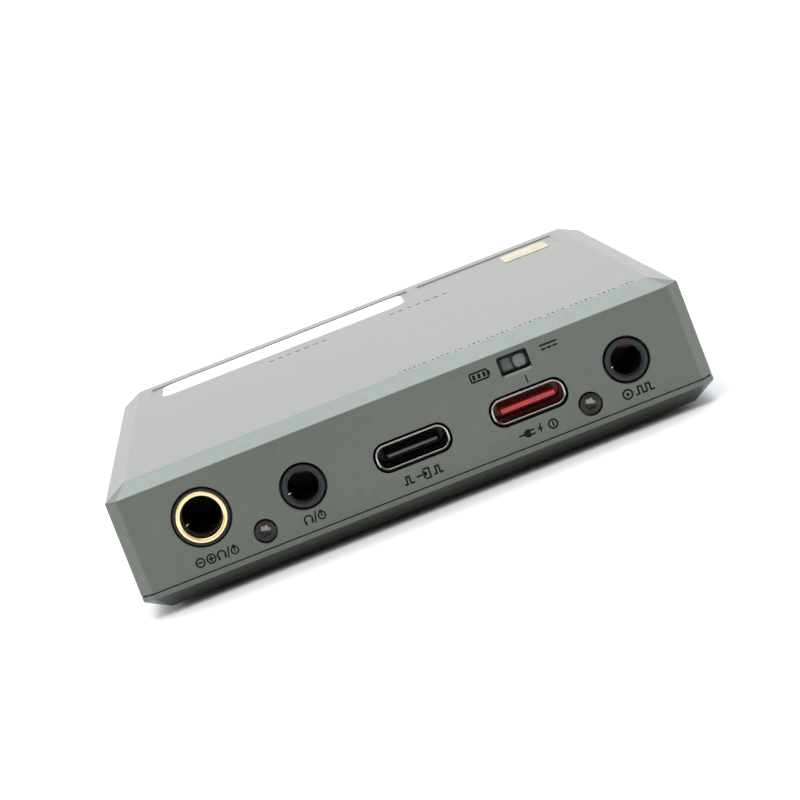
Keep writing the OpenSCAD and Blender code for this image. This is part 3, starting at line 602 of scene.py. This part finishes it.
marks = Print(on_port_face)
plus_minus_icon(marks, balanced.x - 1.35, LOW_ROW - 0.12)
for x, z in ((balanced.x + 1.40, LOW_ROW - 0.1), (phones_x + 0.02, LOW_ROW)):
    phones_icon(marks, x - 0.84, z, 0.9)
    slash(marks, x, z)
    out_icon(marks, x + 0.76, z, 0.86)
data_in_icon(marks, data.x / MM, LOW_ROW)
power_in_icon(marks, power.x / MM, LOW_ROW)
coax_icon(marks, coax_x + 0.05, LOW_ROW)
battery_icon(marks, switch_x - 4.15, HIGH_ROW_LEFT)
direct_current_icon(marks, switch_x + 4.4, HIGH_ROW_RIGHT)
marks.stroke([(tick_x, SEAM / MM + 6.98), (tick_x, SEAM / MM + 7.92)], 0.17, False)
piece("port_face_marks", marks.bm, INK, "case")

# Row of small dots along the near edge of the top face, in groups of three to six
row = Print(on_top)
row_y = FRONT / MM + 4.45
dot_x = 1.8
for group in (6, 4, 2, 3, 5, 6, 4, 5, 4, 3):
    for k in range(group):
        row.bar(dot_x, row_y, 0.18 + 0.12 * (k % 2), 0.65, 0.08)
        dot_x += 0.60
    dot_x += 0.45
piece("top_face_marks", row.bm, INK, "case")


# ---------------------------------------------------------------- sockets

def roll(radius, start, stop, step=15):
    """Points of an arc as (across, deep) pairs. Angle 0 points outwards and 90 out of the face."""
    count = round(abs(stop - start) / step)
    angles = [math.radians(start + (stop - start) * i / count) for i in range(count + 1)]
    return [(radius * math.cos(a), radius * (1 - math.sin(a))) for a in angles]


def ring_lip():
    """Gold ring of the balanced jack: rolled outer rim, two fine turned grooves and a rolled mouth."""
    low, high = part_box("balanced_jack_ring")
    c = Vector(((low.x + high.x) / 2, low.y, (low.z + high.z) / 2))
    ro = (high.x - low.x) / 2 / MM
    mouth_r, relief_r = 2.42, 2.52
    depth = (high.y - low.y) / MM
    profile = [(ro, depth)]
    profile += [(ro - 0.1 + u, d) for u, d in roll(0.1, 0, 90)]
    for at in (0.17, 0.27):
        profile += [(ro - at, 0.0), (ro - at - 0.015, 0.04), (ro - at - 0.03, 0.0)]
    profile += [(mouth_r + 0.24 + u, d) for u, d in roll(0.24, 90, 180)]
    profile += [(mouth_r, 0.80), (relief_r, 0.92), (relief_r, depth)]
    bm = bmesh.new()
    revolve(bm, [(r * MM, d * MM) for r, d in profile], c, "Y", 96, closed=True)
    piece("balanced_jack_gold_ring", bm, MATS["gold_plating"], "case", ["balanced_jack_ring"])


def jack_body(name, node, mat, centre, nose_r, mouth, bore_r, bore_depth, body_low, body_high):
    """Jack housing: a round nose with a softened rim, its bore, and a block behind the wall. mouth is
    the radius of the mouth and the depth down to the narrower bore."""
    mouth_r, mouth_depth = mouth
    x, z = centre
    y0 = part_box(node)[0].y
    nose_end = body_low.y / MM - y0 / MM
    mouth_rim, nose_rim, tube_r, hub_r = 0.12, 0.14, bore_r + 0.3, 0.02
    floor_depth = bore_depth - 0.6
    profile = [(hub_r, floor_depth), (bore_r, floor_depth), (bore_r, mouth_depth + 0.02),
               (mouth_r, mouth_depth)]
    profile += [(mouth_r + mouth_rim + u, d) for u, d in roll(mouth_rim, 180, 90)]
    profile += [(nose_r - nose_rim + u, d) for u, d in roll(nose_rim, 90, 0)]
    profile += [(nose_r, nose_end), (tube_r, nose_end + 0.01), (tube_r, bore_depth), (hub_r, bore_depth)]
    bm = bmesh.new()
    revolve(bm, [(r * MM, d * MM) for r, d in profile], Vector((x * MM, y0, z * MM)), "Y", 72)
    # Block of the housing, in four bevelled parts round the bore's tube
    gap = tube_r * MM
    lo, hi, cx, cz = Vector(body_low), Vector(body_high), x * MM, z * MM
    block(bm, lo, (hi.x, hi.y, cz - gap), 0.15 * MM)
    block(bm, (lo.x, lo.y, cz + gap), hi, 0.15 * MM)
    for side in (-1, 1):
        a, b = sorted((cx + side * gap, lo.x if side < 0 else hi.x))
        block(bm, (a, lo.y, cz - gap), (b, hi.y, cz + gap), 0.1 * MM)
    piece(name, bm, mat, "case", [node])


def springs(name, node, centre, bore_r, places, leg_z):
    """Contact springs of a jack. Each place is (angle, depth behind the port face, how far the tip stands
    into the bore, width): a strip that comes in from outside the bore and bends over into a rounded tip."""
    x, z = centre
    # The root of each strip stands this far outside the bore and behind its tip
    root_out, root_deep = 0.55, 2.6
    bm = bmesh.new()
    for angle, deep, reach, wide in places:
        a = math.radians(angle)
        out = Vector((math.cos(a), 0, math.sin(a)))
        across = Vector((-out.z, 0, out.x))
        path = [(bore_r + root_out, root_deep), (bore_r + 0.42, 1.7), (bore_r - reach * 0.5, 0.55),
                (bore_r - reach, 0.18), (bore_r - reach, -0.12), (bore_r - reach * 0.45, -0.42),
                (bore_r + 0.16, -0.62)]
        loops = []
        for i, (r, d) in enumerate(path):
            r0, d0 = path[max(i - 1, 0)]
            r1, d1 = path[min(i + 1, len(path) - 1)]
            along = (out * (r1 - r0) + Vector((0, d1 - d0, 0))).normalized()
            normal = across.cross(along)
            base = Vector((x, FRONT / MM + deep + d, z)) + out * r
            loops.append([(base + across * u + normal * v) * MM for u, v in rounded(wide, 0.18, 0.07, 3)])
        skin(bm, loops, cap_first=True, cap_last=True)
        side = 1 if out.x > -0.01 else -1
        root = Vector((x, FRONT / MM + deep + root_deep, z)) + out * (bore_r + root_out)
        leg_x = x + side * (bore_r + 1.15)
        arm_low, arm_high = sorted((root.x, leg_x))
        block(bm, Vector((arm_low, root.y - 0.1, root.z - 0.35)) * MM,
              Vector((arm_high, root.y + 0.1, root.z + 0.35)) * MM)
        block(bm, Vector((leg_x - 0.1, root.y - 0.4, leg_z)) * MM,
              Vector((leg_x + 0.1, root.y + 0.4, root.z)) * MM)
    ob = piece(name, bm, MATS["gold_plating"], "case", [node])
    # The upper contacts take a dark bronze colour as painted shade, the others are plated
    ob.data.materials.append(MATS["painted_shade_bronze"])
    for f in ob.data.polygons:
        f.material_index = int(f.center.z > (z + bore_r * 0.5) * MM)


def build_jacks():
    """Housings of the three jacks. Their blocks start just behind the wall."""
    block_y = FRONT + 1.8 * MM
    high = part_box("balanced_jack_housing")[1]
    jack_body("balanced_jack_body", "balanced_jack_housing", MATS["jack_black"], (balanced.x, balanced.z),
              3.32, (2.975, 2.06), BALANCED_BORE_R, 19.5,
              Vector(((balanced.x - 4) * MM, block_y, BOARD_TOP * MM)),
              Vector(((balanced.x + 4) * MM, high.y, high.z - 0.19 * MM)))
    for name, node, cx in (("headphone_jack_body", "headphone_jack_housing", phones_x),
                           ("coax_jack_body", "coax_jack_housing", coax_x)):
        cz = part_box(node)[1].z / MM - SMALL_AXIS_DOWN
        jack_body(name, node, MATS["dark_grey_plastic"], (cx, cz), 2.5, (1.95, 0.4), SMALL_BORE_R, 14.0,
                  Vector((cx * MM - 3 * MM, block_y, (cz - 2.5) * MM)),
                  Vector((cx * MM + 3 * MM, block_y + 13 * MM, (cz + 2.5) * MM)))


def port_shell(name, node):
    """Drawn steel shell with a rounded mouth and a closed back. Its lower lip and the outer turn of
    its mouth are painted darker as painted shade."""
    low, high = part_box(node)
    c = (low + high) / 2
    w, h = (high.x - low.x) / MM, (high.z - low.z) / MM
    outer_r, inner_r = 0.17, 0.12
    steps = [(0.0, high.y / MM)]
    steps += [(outer_r - u, low.y / MM + d) for u, d in roll(outer_r, 0, 90)]
    steps += [(SHEET - inner_r - u, low.y / MM + d) for u, d in roll(inner_r, 90, 180)]
    steps.append((SHEET, high.y / MM - SHEET))
    bm = bmesh.new()
    loops = [[Vector((c.x + u * MM, y * MM, c.z + v * MM))
              for u, v in rounded(w - 2 * i, h - 2 * i, PORT_R - i, 10)] for i, y in steps]
    skin(bm, loops, cap_first=True, cap_last=True)
    ob = piece(name, bm, MATS["port_steel"], "case", [node])
    ob.data.materials.append(MATS["painted_shade_port_steel"])
    # Downward and outward faces at the mouth take the darker steel as painted shade
    for f in ob.data.polygons:
        under = f.normal.z < 0.3 and f.center.z < c.z - h / 4 * MM
        away = f.normal.x * (f.center.x - c.x) + f.normal.z * (f.center.z - c.z) > 0
        turned = away and abs(f.normal.y) < 0.85
        f.material_index = int((under or turned) and f.center.y < low.y + 0.22 * MM)


def port_tongue(name, node, mat, nose_w, nose_t, nose_highlight_mat=None):
    """Tongue that tapers to a narrow front edge, standing on a moulded back that fills the shell."""
    low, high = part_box(node)
    c = (low + high) / 2
    w, t = 6.69, 0.7
    y0 = low.y / MM
    root = y0 + 4.8
    bm = bmesh.new()

    def loop(wide, tall, r, y):
        return [Vector((c.x + u * MM, y * MM, c.z + v * MM)) for u, v in rounded(wide, tall, r, 6)]

    skin(bm, [loop(nose_w - 0.1, nose_t - 0.08, 0.08, y0), loop(nose_w, nose_t, 0.1, y0 + 0.05),
              loop(w, t, 0.12, y0 + 0.7), loop(w, t, 0.12, root)], cap_first=True, cap_last=True)
    back_w, back_h = (high.x - low.x) / MM, (high.z - low.z) / MM
    r = PORT_R - SHEET
    skin(bm, [loop(back_w - 0.24, back_h - 0.24, r - 0.12, root), loop(back_w, back_h, r, root + 0.1),
              loop(back_w, back_h, r, high.y / MM)], cap_first=True, cap_last=True)
    ob = piece(name, bm, mat, "case", [node])
    # The tongue's front edge takes the lighter grey as a painted highlight
    if nose_highlight_mat:
        ob.data.materials.append(nose_highlight_mat)
        for f in ob.data.polygons:
            f.material_index = int(f.center.y < low.y + 0.06 * MM)


# ---------------------------------------------------------------- screws, switch, keys, feet

def lobes(radius, depth_ratio, count=72):
    """Six-lobe outline."""
    pts = []
    for i in range(count):
        a = 2 * math.pi * i / count
        r = radius * (1 - depth_ratio * (0.5 - 0.5 * math.cos(6 * a)))
        pts.append((r * math.cos(a), r * math.sin(a)))
    return pts


def lobe_screws(name, node, places, facing):
    """Case screws: flat head with its rim painted near-black as painted shade, six-lobe recess with its
    upper half painted lighter as a painted highlight, and a threaded shank. facing is -1 for heads on
    the port face and 1 for the far face."""
    low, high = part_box(node)
    z = (low.z + high.z) / 2
    face = low.y if facing < 0 else high.y
    bm = bmesh.new()
    head_r, head_t, shank_r, length = 1.28 * MM, 0.9 * MM, 0.8 * MM, high.y - low.y
    rim, pitch = 0.14 * MM, 0.35 * MM
    key_r, key_depth = 0.70 * MM, 0.25 * MM
    turns = [2 * math.pi * i / 72 for i in range(72)]
    circle = [(math.cos(a), math.sin(a)) for a in turns]

    def disc(r):
        return [(u * r, v * r) for u, v in circle]

    def loop(points, depth):
        return [Vector((x + u, face - facing * depth, z + v)) for u, v in points]

    for x in places:
        loops = [loop(disc(0.04 * MM), 0.36 * MM)]
        loops.append(loop(lobes(0.66 * MM, 0.26), 0.30 * MM))
        loops.append(loop(lobes(0.72 * MM, 0.26), 0.03 * MM))
        loops.append(loop(lobes(0.75 * MM, 0.25), 0.0))
        loops.append(loop(disc(0.95 * MM), 0.0))
        for a in range(90, -1, -18):
            across, out = rim * math.cos(math.radians(a)), rim * math.sin(math.radians(a))
            loops.append(loop(disc(head_r - rim + across), rim - out))
        loops.append(loop(disc(head_r), head_t))
        loops.append(loop(disc(shank_r), head_t))
        d = head_t + 0.2 * MM
        while d + pitch < length - 0.3 * MM:
            loops.append(loop(disc(shank_r), d))
            loops.append(loop(disc(shank_r - 0.14 * MM), d + 0.17 * MM))
            d += pitch
        loops.append(loop(disc(shank_r), d))
        loops.append(loop(disc(shank_r - 0.25 * MM), length))
        skin(bm, loops, cap_first=True, cap_last=True)
    ob = piece(name, bm, MATS["dark_screw_steel"], "case", [node], sharp=28.0)
    ob.data.materials.append(MATS["painted_highlight_steel"])
    ob.data.materials.append(MATS["painted_shade_rim_steel"])
    # Upper half of each recess takes the lighter steel as a painted highlight; the rim takes near-black steel
    # as painted shade
    for f in ob.data.polygons:
        off, x = min((math.hypot(f.center.x - x, f.center.z - z), x) for x in places)
        deep = abs(f.center.y - face)
        upper = (f.center.x - x) * 0.36 + (f.center.z - z) * 0.93 > -0.02 * MM
        if off < key_r and key_depth < deep < head_t and upper:
            f.material_index = 1
        elif off > head_r - 0.09 * MM:
            f.material_index = 2


def build_switch():
    """Moving part of the mode switch: softened knob, a step beside it painted darker as painted shade, and
    a shutter and stem in black plastic, the shutter's black being painted shade.
    """
    low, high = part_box("switch_slider")
    c = (low + high) / 2
    step_y, shutter_y = FRONT + 0.9 * MM, FRONT + 1.15 * MM
    bm = bmesh.new()
    half_w, half_h, corner = 0.75 * MM, 0.775 * MM, 0.5 * MM
    loops = []
    for inset, y in ((0.30, 0.0), (0.13, 0.03), (0.04, 0.11), (0.0, 0.26)):
        i = inset * MM
        loops.append([Vector((c.x + u, low.y + y * MM, c.z + v)) for u, v in
                      rounded(2 * half_w - 2 * i, 2 * half_h - 2 * i, corner - 0.4 * i, 6)])
    loops.append([Vector((c.x + u, shutter_y, c.z + v)) for u, v in
                  rounded(2 * half_w, 2 * half_h, corner, 6)])
    skin(bm, loops, cap_first=True, cap_last=True)
    block(bm, (c.x - half_w - 1.4 * MM, step_y, c.z - half_h),
          (c.x - half_w - 0.12 * MM, shutter_y + 0.05 * MM, c.z + half_h), 0.12 * MM)
    block(bm, (low.x, shutter_y, low.z), (high.x, shutter_y + 0.3 * MM, high.z), 0.08 * MM)
    block(bm, (c.x - 0.6 * MM, shutter_y + 0.3 * MM, c.z - 0.5 * MM),
          (c.x + 0.6 * MM, high.y, c.z + 0.5 * MM), 0.1 * MM)
    ob = piece("mode_switch_knob", bm, MATS["knob_grey"], "mode_slider", ["switch_slider"])
    ob.data.materials.append(MATS["black_plastic"])
    ob.data.materials.append(MATS["painted_shade_grey"])
    # Shutter and stem take black plastic and the step takes the darker grey, both as painted shade
    for f in ob.data.polygons:
        if f.center.y > shutter_y - 0.01 * MM:
            f.material_index = 1
        elif f.center.x < c.x - half_w - 0.05 * MM:
            f.material_index = 2


def build_key(name, node, body):
    """Side key: cap with a rounded rim and a shallow dish, inner flange and stem."""
    low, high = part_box(node)
    c = (low + high) / 2
    flange_w, flange_h = high.y - low.y, high.z - low.z
    cap_w, cap_h = flange_w - 1 * MM, flange_h - 1 * MM
    flange_x = SIDE - WALL - 0.55 * MM
    bm = bmesh.new()

    def loop(w, h, x, inset=0.0):
        return [Vector((x, c.y + u, c.z + v)) for u, v in stadium(w - 2 * inset, h - 2 * inset)]

    loops = [ring_like(low.x, c, 0.8 * MM), ring_like(flange_x, c, 0.8 * MM)]
    loops += [loop(flange_w, flange_h, flange_x), loop(flange_w, flange_h, flange_x + 0.5 * MM),
              loop(cap_w, cap_h, flange_x + 0.5 * MM)]
    rim = 0.18 * MM
    for a in range(0, 91, 15):
        loops.append(loop(cap_w, cap_h, high.x - rim + rim * math.sin(math.radians(a)),
                          rim * (1 - math.cos(math.radians(a)))))
    loops.append(loop(cap_w, cap_h, high.x - 0.02 * MM, 0.40 * MM))
    loops.append(loop(cap_w, cap_h, high.x - 0.05 * MM, 0.75 * MM))
    skin(bm, loops, cap_first=True, cap_last=True)
    piece(name, bm, MATS["key_aluminium"], body, [node])
    return c, high.x - 0.05 * MM


def ring_like(x, c, r):
    """Round loop with as many points as a stadium's, for a skin between the two."""
    return [Vector((x, c.y + u, c.z + v)) for u, v in stadium(2 * r + 1e-6, 2 * r)]


def build_keys():
    """Keys with their marks: power, down, up."""
    for name, node, body, mark in (("power_side_key", "power_key", "power_button", "power"),
                                   ("volume_down_side_key", "volume_down_key", "volume_down_button", "minus"),
                                   ("volume_up_side_key", "volume_up_key", "volume_up_button", "plus")):
        c, face_x = build_key(name, node, body)
        p = Print(lambda u, v, w, c=c, fx=face_x: Vector((fx + w * MM, c.y + u * MM, c.z + v * MM)))
        if mark == "power":
            p.arc(0, -0.03, 0.3, 130, 410, 0.09, 16)
            p.stroke([(0, 0.02), (0, 0.38)], 0.09)
        else:
            p.stroke([(-0.3, 0), (0.3, 0)], 0.1)
            if mark == "plus":
                p.stroke([(0, -0.3), (0, 0.3)], 0.1)
        piece(name + "_mark", p.bm, PALE_INK, body)


def build_feet():
    """Four rubber feet with a rounded rim and two fine grooves underneath."""
    low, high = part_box("rubber_feet")
    bm = bmesh.new()
    r = 4 * MM
    rim = 0.2 * MM
    for sx in (-1, 1):
        for sy in (-1, 1):
            c = Vector((sx * (high.x - r), sy * (high.y - r), low.z))
            profile = [(0.3 * MM, 0.0)]
            for groove in (1.6 * MM, 2.6 * MM):
                profile += [(groove, 0.0), (groove + 0.08 * MM, 0.1 * MM), (groove + 0.22 * MM, 0.1 * MM),
                            (groove + 0.30 * MM, 0.0)]
            for a in range(90, -1, -15):
                across, out = rim * math.cos(math.radians(a)), rim * math.sin(math.radians(a))
                profile.append((r - rim + across, rim - out))
            profile.append((r, high.z - low.z))
            revolve(bm, profile, c, "Z", 72)
    piece("rubber_feet_moulded", bm, MATS["foot_rubber"], "case", ["rubber_feet"])


def build_labels():
    """White paper label with a few plain bars, and a gold foil badge with an embossed frame."""
    low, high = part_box("white_label")
    c = (low + high) / 2
    w, l = high.x - low.x, high.y - low.y
    bm = bmesh.new()
    loops = [[Vector((c.x + u, c.y + v, z)) for u, v in rounded(w - 2 * i, l - 2 * i, 2.2 * MM, 8)]
             for i, z in ((0.0, low.z), (0.0, high.z - 0.015 * MM), (0.03 * MM, high.z))]
    skin(bm, loops, cap_first=True, cap_last=True)
    piece("white_paper_label", bm, MATS["label_paper"], "case", ["white_label"])
    p = Print(lambda u, v, t: Vector((c.x + u * MM, c.y + v * MM, high.z + t * MM)), 0.006)
    for row_at, ends in ((4.4, (-15.5, 6.0)), (2.2, (-15.5, 9.0)), (0.0, (-15.5, 3.0))):
        p.bar((ends[0] + ends[1]) / 2, row_at, ends[1] - ends[0], 0.35, 0.1)
    for i in range(14):
        p.bar(-15.0 + i * 0.9, -4.0, 0.25 + 0.2 * (i % 3), 3.2)
    p.frame(13.0, 0.5, 5.2, 8.0, 0.25, 0.6)
    piece("white_label_bars", p.bm, PALE_INK, "case")

    low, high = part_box("gold_badge")
    b = (low + high) / 2
    w, l = high.x - low.x, high.y - low.y
    bm = bmesh.new()
    loops = []
    for i, z in ((0.0, low.z), (0.0, high.z - 0.02 * MM), (0.03 * MM, high.z), (0.45 * MM, high.z),
                 (0.50 * MM, high.z - 0.03 * MM), (0.9 * MM, high.z - 0.03 * MM), (0.95 * MM, high.z)):
        outline = rounded(w - 2 * i, l - 2 * i, 1.1 * MM - i * 0.6, 8)
        loops.append([Vector((b.x + u, b.y + v, z)) for u, v in outline])
    skin(bm, loops, cap_first=True, cap_last=True)
    piece("gold_foil_badge", bm, MATS["badge_foil"], "case", ["gold_badge"])


ring_lip()
build_jacks()
port_shell("data_port_rolled_shell", "data_port_shell")
port_shell("power_port_rolled_shell", "power_port_shell")
port_tongue("data_port_moulded_tongue", "data_port_tongue", MATS["black_plastic"], 6.05, 0.36,
            MATS["painted_highlight_nose"])
port_tongue("power_port_moulded_tongue", "power_port_tongue", MATS["red_plastic"], 6.6, 0.58)
springs("balanced_jack_springs", "balanced_jack_contacts", (balanced.x, balanced.z), BALANCED_BORE_R,
        ((198, 3.6, 0.45, 0.2), (290, 5.0, 0.30, 0.3), (180, 9.5, 0.35, 0.7), (0, 12.0, 0.35, 0.7),
         (90, 14.5, 0.35, 0.7)), BOARD_TOP)
for jack, cx in (("headphone", phones_x), ("coax", coax_x)):
    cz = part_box(jack + "_jack_housing")[1].z / MM - SMALL_AXIS_DOWN
    springs(jack + "_jack_springs", jack + "_jack_contacts", (cx, cz), SMALL_BORE_R,
            ((76, 1.7, 0.55, 1.6), (189, 1.0, 0.30, 0.22), (0, 8.0, 0.35, 0.7), (180, 10.5, 0.35, 0.7)),
            cz - 1.6)
for name, node, facing in (("port_face_lobe_screws", "front_screws", -1),
                           ("far_face_lobe_screws", "far_screws", 1)):
    low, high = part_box(node)
    lobe_screws(name, node, (low.x + SCREW_HEAD_R, high.x - SCREW_HEAD_R), facing)
build_switch()
build_keys()
build_feet()
build_labels()


# ---------------------------------------------------------------- floor, light, camera

def make_floor():
    bm = bmesh.new()
    bmesh.ops.create_grid(bm, x_segments=2, y_segments=2, size=30.0)
    me = bpy.data.meshes.new("floor")
    bm.to_mesh(me)
    bm.free()
    s = Shade("pale_floor")
    s.colour(s.blend(s.remap(s.noise(6.0), 0.3, 0.7), (0.955, 0.95, 0.935), (0.97, 0.965, 0.95)))
    s.fixed(roughness=0.6, specular_ior_level=0.2)
    me.materials.append(s.mat)
    ob = bpy.data.objects.new("floor", me)
    bpy.context.scene.collection.objects.link(ob)
    ob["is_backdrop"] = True


def make_world():
    """White studio: bright all round and brightest overhead, dimmer on the side of the port face and a
    little cooler to the left and right."""
    world = bpy.data.worlds.new("studio")
    bpy.context.scene.world = world
    world.use_nodes = True
    tree = world.node_tree
    coords = tree.nodes.new("ShaderNodeTexCoord")
    split = tree.nodes.new("ShaderNodeSeparateXYZ")
    tree.links.new(coords.outputs["Generated"], split.inputs[0])

    def span(axis, low, high, to_low, to_high):
        n = tree.nodes.new("ShaderNodeMapRange")
        for key, v in (("From Min", low), ("From Max", high), ("To Min", to_low), ("To Max", to_high)):
            n.inputs[key].default_value = v
        tree.links.new(split.outputs[axis], n.inputs["Value"])
        return n.outputs["Result"]

    total = tree.nodes.new("ShaderNodeMath")
    total.operation = "MULTIPLY"
    tree.links.new(span("Y", -0.9, 0.3, 0.31, 1.40), total.inputs[0])
    tree.links.new(span("Z", 0.1, 0.8, 1.0, 1.05), total.inputs[1])
    side = tree.nodes.new("ShaderNodeMath")
    side.operation = "ABSOLUTE"
    tree.links.new(split.outputs["X"], side.inputs[0])
    cool = tree.nodes.new("ShaderNodeMix")
    cool.data_type = "RGBA"
    cool.inputs[6].default_value = (1.0, 1.0, 1.0, 1.0)
    cool.inputs[7].default_value = (1.00, 1.06, 1.16, 1.0)
    ramp = tree.nodes.new("ShaderNodeMapRange")
    ramp.inputs["From Min"].default_value = 0.4
    ramp.inputs["From Max"].default_value = 0.9
    tree.links.new(side.outputs["Value"], ramp.inputs["Value"])
    tree.links.new(ramp.outputs["Result"], cool.inputs["Factor"])
    back = tree.nodes["Background"]
    tree.links.new(cool.outputs[2], back.inputs["Color"])
    tree.links.new(total.outputs["Value"], back.inputs["Strength"])


def make_area(name, size, power, place, target, colour=(1.0, 1.0, 1.0)):
    data_block = bpy.data.lights.new(name, "AREA")
    data_block.color = colour
    data_block.shape = "RECTANGLE"
    data_block.size, data_block.size_y = size
    data_block.energy = power
    ob = bpy.data.objects.new(name, data_block)
    bpy.context.scene.collection.objects.link(ob)
    ob.location = place
    ob.rotation_mode = "QUATERNION"
    ob.rotation_quaternion = (Vector(target) - Vector(place)).to_track_quat("-Z", "Y")


def make_camera():
    """View of the port face from low over it, through a 148.8 mm lens, rolled to the left."""
    data_block = bpy.data.cameras.new("camera")
    data_block.sensor_width = 36.0
    data_block.lens = 148.8
    data_block.clip_start, data_block.clip_end = 0.01, 100.0
    ob = bpy.data.objects.new("camera", data_block)
    bpy.context.scene.collection.objects.link(ob)
    right = Vector((0.93107, -0.05958, -0.35995))
    up = Vector((0.36451, 0.10940, 0.92475))
    back = Vector((-0.01572, -0.99221, 0.12358))
    turn = Matrix((right, up, back)).transposed().to_4x4()
    ob.matrix_world = Matrix.Translation(Vector((-5.295, -423.489, 59.874)) * MM) @ turn
    bpy.context.scene.camera = ob


bpy.context.scene.view_settings.view_transform = "Standard"
make_floor()
make_world()
make_area("overhead_softbox", (1.0, 0.5), 3.45, (0.0, 0.38, 0.75), (0.0, 0.0, 0.0), (0.87, 0.94, 1.09))
make_area("front_high_fill", (0.9, 0.6), 3.0, (-0.1, -0.55, 0.85), (0.0, 0.0, 0.0))
make_area("left_fill", (0.5, 0.5), 0.8, (-0.6, -0.3, 0.5), (0.0, 0.0, 0.0))
make_camera()

low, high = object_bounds()
